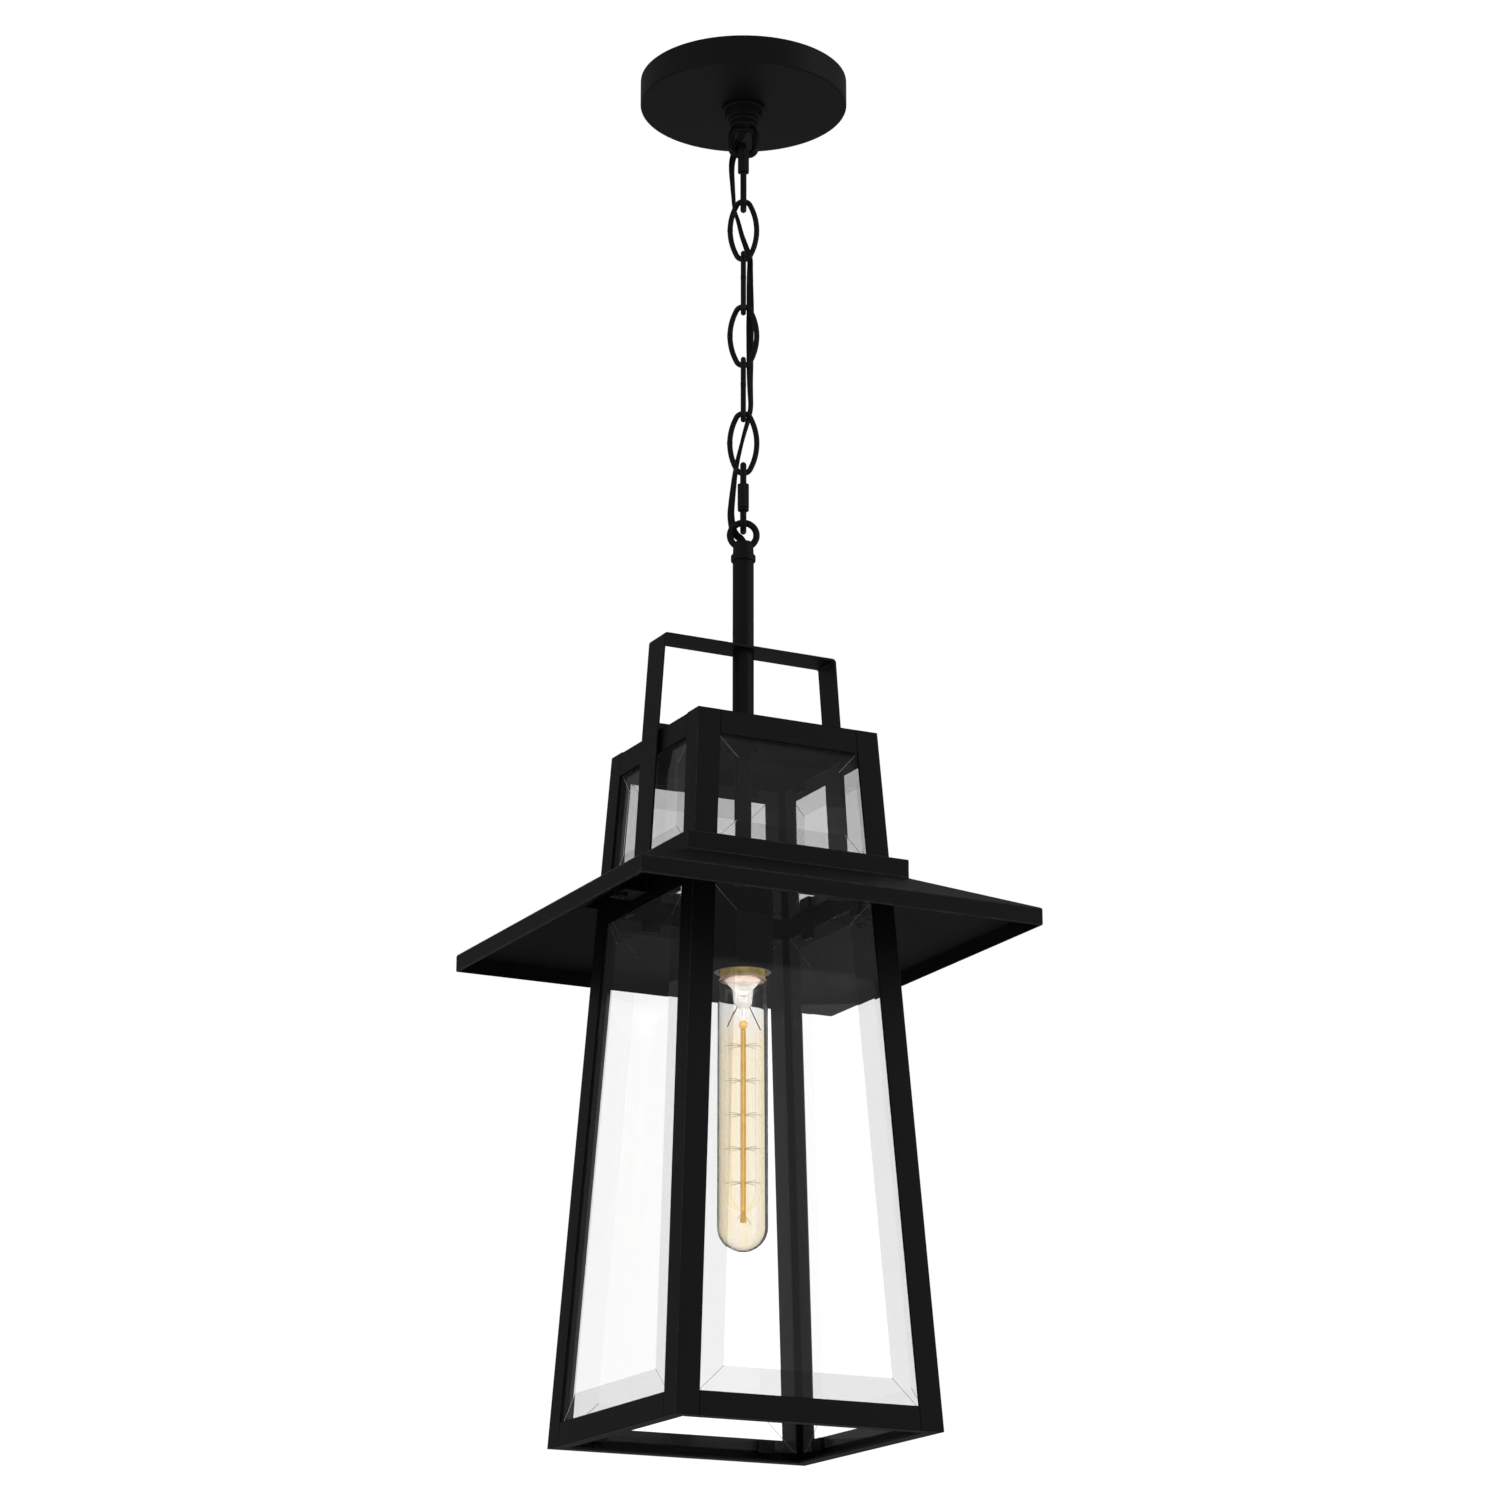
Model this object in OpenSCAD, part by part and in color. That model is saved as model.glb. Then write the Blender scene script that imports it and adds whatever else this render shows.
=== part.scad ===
// Hanging lantern on a short chain: square tapered cage with a wide roof skirt, clear panes,
// a tubular bulb, a strap handle and a round ceiling canopy.
// Millimetres, +Z up. The origin is the centre of the ceiling plane.
// The cage's four faces are square to X and Y. Everything below the ceiling hangs at negative Z.

/* [Ceiling] */
// outer radius of the canopy
canopy_r = 63.5; // [50:0.5:80]
// height of the canopy
canopy_h = 17.8; // [12:0.1:40]
// rounding of the canopy's lower edge
canopy_round = 1.5; // [1.3:0.1:6]
// sheet thickness of the canopy
canopy_wall = 1.2; // [0.8:0.1:2]
// length of the ceiling crossbar
crossbar_len = 116; // [100:1:120]
// width of the ceiling crossbar
crossbar_w = 16; // [12:1:24]
// thickness of the ceiling crossbar
crossbar_t = 1.6; // [1.2:0.1:3]
// distance between the two box screws
box_screw_spacing = 88.9; // [70:0.1:90]
// end to end length of each box screw slot
box_slot_len = 18; // [6:0.5:20]
// width of each box screw slot
box_slot_w = 5; // [4:0.1:6]
// radius of the canopy loop's threaded neck
neck_r = 8.75; // [7:0.05:10]

/* [Chain] */
// turn of the chain about Z, from X
chain_yaw = -27; // [-90:1:90]
// wire radius of the canopy loop
loop_wire_r = 2.2; // [1.5:0.1:3]
// wire radius of a quick link
quick_wire_r = 1.9; // [1.5:0.1:3]
// overall length of a quick link
quick_len = 43.5; // [38:0.1:50]
// distance between the leg centres of a quick link
quick_leg_gap = 16.2; // [14:0.1:20]
// wire radius of a chain link
link_wire_r = 1.65; // [1.2:0.05:2.5]
// overall length of a chain link
link_len = 41.7; // [36:0.1:50]
// distance between the leg centres of a chain link
link_leg_gap = 16.2; // [14:0.1:20]
// half the turn of the tight arc at a chain link's end
link_end_angle = 65; // [55:1:75]
// clearance between two links that bear on each other
link_clear = 0.3; // [0.2:0.05:0.5]
// width of the flat supply cord
cord_w = 4.6; // [3:0.1:6]
// thickness of the flat supply cord
cord_t = 2.3; // [2:0.1:4]
// length of one turn of the cord's twist
cord_twist_len = 290; // [60:10:400]

/* [Stem and handle] */
// outside radius of the stem tube
stem_r = 6.3; // [5:0.05:8]
// outside radius of the inner threaded pipe
pipe_r = 4.8; // [4:0.05:5.2]
// width of the handle strap
strap_w = 20.6; // [12:0.1:30]
// thickness of the handle strap
strap_t = 1.5; // [1:0.1:3]
// height of the handle's top face
handle_top_z = -370; // [-400:1:-340]
// half of the handle's outside width at its top
handle_top_half = 57; // [50:0.1:65]
// radius of the handle's outer bend
handle_bend = 2.5; // [2:0.1:8]
// height of the underside of the handle's feet
foot_z = -529; // [-540:0.5:-520]
// distance from the axis to the end of a foot
foot_end = 81; // [75:0.5:90]
// distance from the axis to the screw in a foot
foot_screw_x = 77.9; // [72:0.1:85]

/* [Cage] */
// height of the cage's top
cage_top_z = -429.7; // [-460:0.1:-400]
// height of the cage's bottom
cage_bottom_z = -835.4; // [-900:0.1:-700]
// half width of the cage at its top
cage_top_half = 58.1; // [40:0.1:80]
// growth of the half width for each millimetre down
taper = 0.0604; // [0:0.0001:0.12]
// sheet thickness of the frame
sheet = 1.5; // [1:0.1:3]
// width of each corner post's flange
flange_w = 14.5; // [8:0.1:20]
// height of the upper edge of the upper windows
upper_window_top = -444; // [-460:0.1:-435]
// height of the lower edge of the upper windows
upper_window_bottom = -507.2; // [-520:0.1:-490]
// height of the upper edge of the lower windows
lower_window_top = -533.7; // [-550:0.1:-525]
// height of the lower edge of the lower windows
lower_window_bottom = -821.9; // [-830:0.1:-700]
// width of the bottom rails' inward lip
lip_w = 9; // [4:0.5:14]
// thickness of the glass
glass_t = 3; // [2:0.1:5]
// overlap of the glass behind the frame
glass_lap = 7; // [3:0.5:8]
// width of the visible bevel on the upper panes
upper_bevel = 12.5; // [5:0.5:20]
// width of the visible bevel on the lower panes
lower_bevel = 14.5; // [5:0.5:20]
// depth of the bevel at the pane's edge
bevel_depth = 1.4; // [0.5:0.1:2]

/* [Roof] */
// height of the roof collar's top
collar_top_z = -507.1; // [-515:0.1:-500]
// half width of the roof collar
collar_half = 71; // [65:0.5:80]
// height of the upper edge of the slope
slope_top_z = -518.2; // [-525:0.1:-510]
// height of the lower edge of the slope
slope_bottom_z = -542.3; // [-560:0.1:-530]
// half width of the fascia
fascia_half = 126.4; // [100:0.1:150]
// height of the fascia's lower edge
fascia_bottom_z = -552.3; // [-570:0.1:-545]
// sheet thickness of the roof
roof_t = 1.4; // [1:0.1:2.5]

/* [Lamp] */
// outer radius of the socket cup
cup_r = 17.3; // [15.5:0.1:22]
// height of the socket cup's top
cup_top_z = -502; // [-520:0.5:-480]
// height of the socket cup's rim
cup_rim_z = -566.9; // [-575:0.1:-555]
// radius of the bulb base's thread
base_r = 13.1; // [12.9:0.05:13.2]
// radius of the bulb's tube
bulb_r = 14.2; // [12.6:0.1:15.5]
// height of the bulb's tip
bulb_tip_z = -729; // [-760:1:-680]
// height of the joint between base and glass
base_bottom_z = -571.3; // [-580:0.1:-570]
// wall thickness of the bulb's glass
bulb_wall = 1; // [0.6:0.1:1.5]

/* [Hidden] */
// how far two parts of one piece run into each other
eps = 0.01;
round_fn = 96;
// how much thicker the wire is where its arcs meet
joint_swell = 0.03;
taper_angle = atan(taper);
quick_bend = 5.5;
quick_half_w = quick_leg_gap / 2;
quick_half_h = quick_len / 2 - quick_wire_r;
link_half_w = link_leg_gap / 2;
link_half_h = link_len / 2 - link_wire_r;
link_pitch = link_len - 4 * link_wire_r - link_clear;
loop_half_w = 7.3;
loop_bend = 4.5;
loop_top_c = -32;
loop_bottom_c = -49.2;
loop_half_h = (loop_top_c - loop_bottom_c) / 2;
quick_top_z = loop_bottom_c + loop_wire_r + link_clear + 2 * quick_wire_r;
link_1_top = quick_top_z - quick_len + 2 * quick_wire_r + link_clear + 2 * link_wire_r;
quick_2_top = link_1_top - 4 * link_pitch - link_len + 2 * link_wire_r + link_clear + 2 * quick_wire_r;
ring_wire_r = 2;
ring_r = 7.9;
ring_top_z = quick_2_top - quick_len + 2 * quick_wire_r + link_clear + 2 * ring_wire_r;
ring_c_z = ring_top_z - ring_r - ring_wire_r;
sleeve_len = 14.7;
sleeve_af = 6.8;
sleeve_bore = quick_wire_r + 0.05;
sleeve_1_top = -50.3;
sleeve_2_top = -268.6;
leg_gap_len = 6;
leg_gap_1_top = -54.5;
leg_gap_2_top = -276.2;
leg_gap_2_len = 5;
nipple_r = 5;
ground_x = -22;
ground_r = 2;
ground_af = 8;
ground_h = 2.6;
nipple_bore = 3.3;
nipple_top_z = -0.3;
nipple_bottom_z = -20;
neck_top_z = -12;
neck_bottom_z = -31.5;
canopy_hole_r = 9.05;
collar_ring_bore = neck_r + 0.05;
ring_flange_r = 13.25;
ring_flange_z = -20.4;
ring_body_r = 11.5;
ring_bottom_z = -26;
nut_af = 14;
nut_h = 3;
shoulder_top_z = -310.5;
shoulder_bottom_z = -314.8;
shoulder_r = 7.4;
stem_neck_r = 5.9;
stem_neck_flare_r = 6.6;
stem_neck_top_z = ring_c_z - ring_r + 1;
stem_wall = 1;
pipe_bore = 3.4;
pipe_top_z = -306;
cord_hole_r = 2.8;
cross_strap_top = -426.3;
post_top_z = cage_top_z + 0.5;
mitre_gap = 0.1;
strap_off = 1.5;
rivet_z = -523;
rivet_r = 1.5;
rivet_head_r = 2.8;
rivet_head_h = 1.2;
foot_top_z = foot_z + strap_t;
foot_screw_r = 2;
foot_head_r = 3.5;
foot_head_h = 2.6;
foot_dome_r = 4.6;
boss_r = 4.5;
slope_drop = (slope_top_z - slope_bottom_z) / (fascia_half - collar_half);
slope_angle = atan(slope_drop);
slope_t = roof_t / cos(slope_angle);
clip_w = 10.7;
clip_t = 3;
clip_h = 7.2;
clip_wall = 1.2;
clip_z = lower_window_bottom - glass_lap - clip_wall + clip_h;
clip_mid = 53.5;
top_clip_x = 30;
clip_screw_drop = 9;
clip_screw_r = 1;
clip_screw_head_r = 1.8;
clip_screw_head_h = 1.2;
cup_wall = 0.9;
socket_top_z = -524;
socket_floor_z = -541;
socket_r = cup_r - cup_wall;
shell_r = 13.9;
shell_bore = 13.4;
shell_rim_z = -565;
socket_rim_z = -566.4;
contact_z = -545.2;
contact_r = 4.2;
lead_hole_r = 2.6;
bulb_top_z = -545.5;
base_top_z = -550;
base_wall = 0.8;
base_cone_r = 11;
base_tip_r = 5;
base_lip_r = 13.5;
base_lip_h = 2.8;
skirt_r = 12.7;
skirt_top_z = -565.2;
glass_neck_r = skirt_r - base_wall;
glass_neck_z = -566;
glass_full_z = -573.2;
press_top_z = -577;
press_bottom_z = -588.5;
press_top_r = 5.7;
press_bottom_r = 4.8;
rod_bottom_z = -712;
rod_r = 1.6;
bead_z = -597.3;
bead_r = 2.7;
mount_top_z = glass_neck_z - 2;
strand_count = 8;
strand_r = 0.3;
strand_ring_r = 10.3;
strand_top_z = -604;
strand_bottom_z = -706;
support_z = [-609.7, -630.2, -650.1, -669.8, -689.5];
lead_r = 1.2;
lead_x = 1.3;
cord_sides = 8;
cord_rings = 10;
cord_flat_z = -160;
cord_gap = 0.02;

// knots of the cord's route: [sideways in the chain's plane, across it, height]
cord_knots = [
  [0, 0, -12], [0, 0, -31], [-2.2, 1.8, -38], [-5.4, 5.6, -45], [-7, 5.4, -52], [-7.2, 4.6, -59],
  [-6.8, 4.4, -66], [-6.2, 4.6, -75], [-5.4, 4.8, -84], [-3.2, 4.4, -92], [-1, 4.4, -101],
  [1.6, 5.5, -108.5], [3.9, 6, -116], [4, 5, -125], [4, 4.6, -134], [4.1, 4.6, -143],
  [4.2, 4.8, -151], [4, 4.6, -160], [4, 4.6, -169], [4, 4.6, -178], [4, 4.8, -187],
  [4, 4.8, -196], [4.2, 5, -204], [4.4, 7, -213], [2.8, 8.4, -221], [0.6, 6.6, -230],
  [-1.4, 4.8, -239], [-3.4, 4.8, -248], [-5, 5, -257], [-6, 4.8, -266], [-6.9, 4.6, -275],
  [-7.4, 5, -283], [-6.4, 5.2, -291], [-4.4, 3.6, -296], [-1, 0.7, -300.5], [0, 0, -305.5]
];
// first and last knot of each length of cord, one length past each hinge of the chain
cord_ends = [0, 6, 10, 14, 18, 22, 26, 30, 35];

// half width of the cage's outside at a height
function half_at(z) = cage_top_half + taper * (cage_top_z - z);

// half width of the handle's outside at a height
function leg_at(z) = half_at(z) + strap_off + strap_t;

// closed rounded loop of round wire, centred on the origin in the XZ plane
module wire_loop(half_w, half_h, wire_r, bend) {
  straight_w = half_w - bend;
  straight_h = half_h - bend;
  for (side = [-1, 1]) {
    translate([side * half_w, 0, -straight_h])
      cylinder(r = wire_r, h = 2 * straight_h, $fn = round_fn);
    translate([-straight_w, 0, side * half_h])
      rotate([0, 90, 0])
        cylinder(r = wire_r, h = 2 * straight_w, $fn = round_fn);
  }
  for (flip_x = [0, 1])
    for (flip_z = [0, 1])
      mirror([flip_x, 0, 0])
        mirror([0, 0, flip_z])
          translate([straight_w, 0, straight_h])
            rotate([90, 0, 0])
              rotate_extrude(angle = 90, $fn = round_fn)
                translate([bend, 0])
                  circle(r = wire_r, $fn = round_fn);
}

// short collar of an oval loop's wire, along +Y from the end of an arc
module oval_joint(arc_r, wire_r, straight) {
  translate([arc_r, -0.1, 0])
    rotate([-90, 0, 0])
      cylinder(r = wire_r + joint_swell, h = straight + 0.2, $fn = round_fn);
}

// closed oval of round wire, centred on the origin in the XZ plane: tight arcs at its ends,
// wide arcs at its sides and a short straight between them. end_angle is half the end arc's turn.
module oval_loop(half_w, half_h, wire_r, end_angle) {
  straight = 1;
  lean = cos(end_angle) / (1 - sin(end_angle));
  end_r = (half_h - straight * sin(end_angle) - lean * (half_w - straight * cos(end_angle)))
    / (1 - cos(end_angle) - lean * sin(end_angle));
  side_r = (half_w - end_r * sin(end_angle) - straight * cos(end_angle)) / (1 - sin(end_angle));
  rotate([90, 0, 0])
    for (half = [0, 180])
      rotate([0, 0, half]) {
        translate([0, half_h - end_r])
          rotate([0, 0, 90 - end_angle]) {
            rotate_extrude(angle = 2 * end_angle, $fn = round_fn)
              translate([end_r, 0])
                circle(r = wire_r, $fn = round_fn);
            mirror([0, 1, 0])
              oval_joint(end_r, wire_r, straight);
            rotate([0, 0, 2 * end_angle])
              oval_joint(end_r, wire_r, straight);
          }
        translate([half_w - side_r, 0])
          rotate([0, 0, end_angle - 90])
            rotate_extrude(angle = 180 - 2 * end_angle, $fn = round_fn)
              translate([side_r, 0])
                circle(r = wire_r, $fn = round_fn);
      }
}

// cylinder between two heights on the Z axis
module column(z_low, z_high, r) {
  translate([0, 0, z_low])
    cylinder(r = r, h = z_high - z_low, $fn = round_fn);
}

// tube between two heights on the Z axis
module tube(z_low, z_high, r, bore) {
  difference() {
    column(z_low, z_high, r);
    column(z_low - 1, z_high + 1, bore);
  }
}

// hexagonal nut between two heights on the Z axis
module hex_nut(z_low, z_high, af, bore) {
  difference() {
    translate([0, 0, z_low])
      cylinder(d = af / cos(30), h = z_high - z_low, $fn = 6);
    column(z_low - 1, z_high + 1, bore);
  }
}

// profile in the XZ plane, drawn out along Y to both sides
module along_y(half_len) {
  rotate([90, 0, 0])
    linear_extrude(height = 2 * half_len, center = true)
      children();
}

// solid with square plan whose half width follows a profile of [half width, height] points
module square_solid(points) {
  both = concat(points, [for (i = [len(points) - 1 : -1 : 0]) [-points[i][0], points[i][1]]]);
  reach = 200;
  intersection() {
    along_y(reach)
      polygon(both);
    rotate([0, 0, 90])
      along_y(reach)
        polygon(both);
  }
}

// slice of the tapered cage between two heights, set in from the outside
module taper_block(z_low, z_high, inset) {
  square_solid([[half_at(z_high) - inset, z_high], [half_at(z_low) - inset, z_low]]);
}

// repeats a face's piece on the other three faces
module on_four_faces() {
  for (turn = [0 : 3])
    rotate([0, 0, 90 * turn])
      children();
}

// frame lying in the cage's -Y face, set in from the outside, with its origin at a height
module on_face(z, inset) {
  translate([0, -(half_at(z) - inset), z])
    rotate([-taper_angle, 0, 0])
      children();
}

module crossbar() {
  color("silver")
    difference() {
      translate([-crossbar_len / 2, -crossbar_w / 2, -crossbar_t])
        cube([crossbar_len, crossbar_w, crossbar_t]);
      column(-crossbar_t - 1, 1, nipple_r);
      translate([ground_x, 0, 0])
        column(-crossbar_t - 1, 1, ground_r);
      for (side = [-1, 1])
        translate([side * box_screw_spacing / 2, 0, -crossbar_t - 1])
          linear_extrude(height = crossbar_t + 2) {
            square([box_slot_len - box_slot_w, box_slot_w], center = true);
            for (end = [-1, 1])
              translate([end * (box_slot_len - box_slot_w) / 2, 0])
                circle(d = box_slot_w, $fn = round_fn);
          }
    }
}

module nipple() {
  color("silver")
    tube(nipple_bottom_z, nipple_top_z, nipple_r, nipple_bore);
}

module nipple_nuts() {
  color("silver") {
    hex_nut(-crossbar_t - nut_h, -crossbar_t, nut_af, nipple_r);
    hex_nut(neck_top_z, neck_top_z + nut_h, nut_af, nipple_r);
  }
}

module ground_screw() {
  color("green")
    translate([ground_x, 0, 0]) {
      column(-crossbar_t, -0.1, ground_r);
      translate([0, 0, -crossbar_t - ground_h])
        cylinder(d = ground_af / cos(30), h = ground_h, $fn = 6);
    }
}

// half section of the canopy's cup, shrunk by a wall
module canopy_section(wall) {
  low = -canopy_h + wall;
  high = wall > 0 ? 1 : 0;
  r = canopy_r - wall;
  bend = canopy_round - wall;
  translate([0, low])
    square([r - bend, high - low]);
  translate([0, low + bend])
    square([r, high - low - bend]);
  translate([r - bend, low + bend])
    circle(r = bend, $fn = round_fn);
}

module canopy() {
  color("black")
    difference() {
      rotate_extrude($fn = round_fn)
        canopy_section(0);
      rotate_extrude($fn = round_fn)
        canopy_section(canopy_wall);
      column(-canopy_h - 1, 0, canopy_hole_r);
    }
}

module collar_ring() {
  color("black")
    difference() {
      union() {
        column(ring_flange_z, -canopy_h, ring_flange_r);
        column(ring_bottom_z, ring_flange_z + eps, ring_body_r);
      }
      column(ring_bottom_z - 1, -canopy_h + 1, collar_ring_bore);
    }
}

module canopy_loop() {
  color("black")
    difference() {
      union() {
        column(neck_bottom_z, neck_top_z, neck_r);
        rotate([0, 0, chain_yaw])
          translate([0, 0, (loop_top_c + loop_bottom_c) / 2])
            wire_loop(loop_half_w, loop_half_h, loop_wire_r, loop_bend);
      }
      column(nipple_bottom_z, neck_top_z + 1, nipple_r);
      column(loop_top_c - loop_wire_r - 1, neck_top_z, nipple_bore);
    }
}

// quick link hanging from its top height, its plane across the chain's
module quick_link(top_z, gap_top, gap_len) {
  rotate([0, 0, chain_yaw + 90])
    difference() {
      translate([0, 0, top_z - quick_len / 2])
        wire_loop(quick_half_w, quick_half_h, quick_wire_r, quick_bend);
      translate([-quick_half_w - 3, -3, gap_top - gap_len])
        cube([6, 6, gap_len]);
    }
}

// hexagonal sleeve on a quick link's near leg
module quick_sleeve(top_z) {
  rotate([0, 0, chain_yaw + 90])
    translate([-quick_half_w, 0, 0])
      hex_nut(top_z - sleeve_len, top_z, sleeve_af, sleeve_bore);
}

module quick_link_top() {
  color("black")
    quick_link(quick_top_z, leg_gap_1_top, leg_gap_len);
}

module quick_link_top_sleeve() {
  color("black")
    quick_sleeve(sleeve_1_top);
}

module quick_link_bottom() {
  color("black")
    quick_link(quick_2_top, leg_gap_2_top, leg_gap_2_len);
}

module quick_link_bottom_sleeve() {
  color("black")
    quick_sleeve(sleeve_2_top);
}

// chain link number, counted from the top: every second one is turned across the chain's plane
module chain_link(number) {
  color("black")
    rotate([0, 0, chain_yaw + (number % 2 == 0 ? 90 : 0)])
      translate([0, 0, link_1_top - (number - 1) * link_pitch - link_len / 2])
        oval_loop(link_half_w, link_half_h, link_wire_r, link_end_angle);
}

module link_1() {
  chain_link(1);
}

module link_2() {
  chain_link(2);
}

module link_3() {
  chain_link(3);
}

module link_4() {
  chain_link(4);
}

module link_5() {
  chain_link(5);
}

module stem_loop() {
  color("black")
    difference() {
      union() {
        rotate([0, 0, chain_yaw])
          translate([0, 0, ring_c_z])
            rotate([90, 0, 0])
              rotate_extrude($fn = round_fn)
                translate([ring_r, 0])
                  circle(r = ring_wire_r, $fn = round_fn);
        translate([0, 0, shoulder_top_z])
          cylinder(r1 = stem_neck_flare_r, r2 = stem_neck_r, h = stem_neck_top_z - shoulder_top_z, $fn = round_fn);
      }
      column(shoulder_top_z - 1, ring_c_z, cord_hole_r);
      column(shoulder_top_z - 1, pipe_top_z, pipe_r);
    }
}

module stem_shoulder() {
  color("black")
    tube(shoulder_bottom_z, shoulder_top_z, shoulder_r, pipe_r);
}

module stem_tube() {
  color("black")
    tube(cross_strap_top, shoulder_bottom_z, stem_r, stem_r - stem_wall);
}

// quarter of a bent strap's section, centred on the bend
module bend_section() {
  intersection() {
    difference() {
      circle(r = handle_bend, $fn = round_fn);
      circle(r = handle_bend - strap_t, $fn = round_fn);
    }
    square(handle_bend + 1);
  }
}

module handle_strap() {
  corner_x = handle_top_half - handle_bend;
  corner_z = handle_top_z - handle_bend;
  color("black")
    difference() {
      union() {
        translate([-corner_x, -strap_w / 2, handle_top_z - strap_t])
          cube([2 * corner_x, strap_w, strap_t]);
        for (flip = [0, 1])
          mirror([flip, 0, 0])
            along_y(strap_w / 2) {
              translate([corner_x, corner_z])
                bend_section();
              polygon([
                [handle_top_half - strap_t, corner_z],
                [handle_top_half, corner_z],
                [leg_at(cage_top_z), cage_top_z],
                [leg_at(foot_top_z), foot_top_z],
                [foot_end, foot_top_z],
                [foot_end, foot_z],
                [leg_at(foot_z) - strap_t, foot_z],
                [leg_at(cage_top_z) - strap_t, cage_top_z]
              ]);
            }
      }
      column(handle_top_z - 5, handle_top_z + 1, stem_r);
      for (side = [-1, 1])
        translate([side * foot_screw_x, 0, 0])
          column(foot_z - 1, foot_top_z + 1, foot_screw_r);
      rivet_holes();
    }
}

// holes for the rivets through the handle's legs and the middle rails
module rivet_holes() {
  for (turn = [90, -90])
    rotate([0, 0, turn])
      on_face(rivet_z, 0)
        rotate([90, 0, 0])
          translate([0, 0, -10])
            cylinder(r = rivet_r, h = 20, $fn = round_fn);
}

module handle_cross_strap() {
  color("black")
    difference() {
      along_y(strap_w / 2)
        polygon([
          [-half_at(cross_strap_top) - strap_off, cross_strap_top],
          [half_at(cross_strap_top) + strap_off, cross_strap_top],
          [half_at(cage_top_z) + strap_off, cage_top_z],
          [-half_at(cage_top_z) - strap_off, cage_top_z]
        ]);
      column(cage_top_z - 1, cross_strap_top + 1, pipe_r);
    }
}

module foot_screws() {
  color("dimgray")
    for (side = [-1, 1])
      translate([side * foot_screw_x, 0, 0]) {
        column(foot_z, foot_top_z + 2, foot_screw_r);
        intersection() {
          translate([0, 0, foot_z - foot_head_h + foot_dome_r])
            sphere(r = foot_dome_r, $fn = round_fn);
          column(foot_z - foot_head_h, foot_z, foot_head_r);
        }
      }
}

// underside of the roof's slope at a distance from the axis
function slope_under(x) = slope_top_z - slope_drop * (x - collar_half) - slope_t;

module roof_bosses() {
  inner_x = foot_screw_x - boss_r - 1;
  outer_x = foot_screw_x + boss_r + 1;
  color("dimgray")
    for (flip = [0, 1])
      mirror([flip, 0, 0])
        difference() {
          intersection() {
            translate([foot_screw_x, 0, 0])
              column(foot_top_z, slope_top_z, boss_r);
            along_y(boss_r + 1)
              polygon([
                [inner_x, foot_top_z - 1],
                [outer_x, foot_top_z - 1],
                [outer_x, slope_under(outer_x)],
                [inner_x, slope_under(inner_x)]
              ]);
          }
          translate([foot_screw_x, 0, 0])
            column(foot_top_z - 1, foot_top_z + 2, foot_screw_r);
        }
}

module leg_rivets() {
  color("dimgray")
    for (turn = [90, -90])
      rotate([0, 0, turn])
        on_face(rivet_z, 0)
          rotate([90, 0, 0]) {
            translate([0, 0, -sheet])
              cylinder(r = rivet_r, h = sheet + strap_off + strap_t, $fn = round_fn);
            cylinder(r = rivet_head_r, h = strap_off - eps, $fn = round_fn);
            translate([0, 0, strap_off + strap_t])
              cylinder(r1 = rivet_head_r, r2 = rivet_head_r - 1, h = rivet_head_h, $fn = round_fn);
          }
}

module top_plate() {
  color("black")
    difference() {
      taper_block(cage_top_z - sheet, cage_top_z, sheet);
      column(cage_top_z - sheet - 1, cage_top_z + 1, pipe_r);
    }
}

// wall of the cage between two heights
module cage_wall(z_low, z_high) {
  difference() {
    taper_block(z_low, z_high, 0);
    taper_block(z_low - 1, z_high + 1, sheet);
  }
}

// slab of space along Y between the corner posts
module between_posts(z_low, z_high) {
  along_y(200)
    polygon([
      [-half_at(z_high) + flange_w, z_high],
      [half_at(z_high) - flange_w, z_high],
      [half_at(z_low) - flange_w, z_low],
      [-half_at(z_low) + flange_w, z_low]
    ]);
}

module corner_posts() {
  color("black")
    difference() {
      cage_wall(cage_bottom_z, post_top_z);
      between_posts(cage_bottom_z - 1, post_top_z + 1);
      rotate([0, 0, 90])
        between_posts(cage_bottom_z - 1, post_top_z + 1);
    }
}

// four flat rails between the posts
module rails(z_low, z_high) {
  on_four_faces()
    intersection() {
      cage_wall(z_low, z_high);
      between_posts(z_low, z_high);
      translate([-100, -200, z_low])
        cube([200, 200, z_high - z_low]);
    }
}

module top_rails() {
  color("black")
    rails(upper_window_top, cage_top_z);
}

module mid_rails() {
  color("black")
    difference() {
      rails(lower_window_top, upper_window_bottom);
      rivet_holes();
    }
}

// inward lip of one bottom rail, cut at 45 degrees at the corners
module mitred_lip(outer, inner) {
  translate([0, 0, cage_bottom_z])
    linear_extrude(sheet)
      polygon([
        [-outer + mitre_gap, -outer],
        [outer - mitre_gap, -outer],
        [inner - mitre_gap, -inner],
        [-inner + mitre_gap, -inner]
      ]);
}

module bottom_rails() {
  lip_top = cage_bottom_z + sheet;
  color("black")
    difference() {
      union() {
        rails(cage_bottom_z, lower_window_bottom);
        on_four_faces()
          intersection() {
            between_posts(cage_bottom_z, lip_top);
            translate([-100, -half_at(lip_top) + sheet - 0.1, cage_bottom_z])
              cube([200, lip_w - sheet + 0.1, sheet]);
          }
        on_four_faces()
          mitred_lip(half_at(lip_top) - sheet, half_at(lip_top) - lip_w);
      }
      clip_screw_holes();
    }
}

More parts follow.
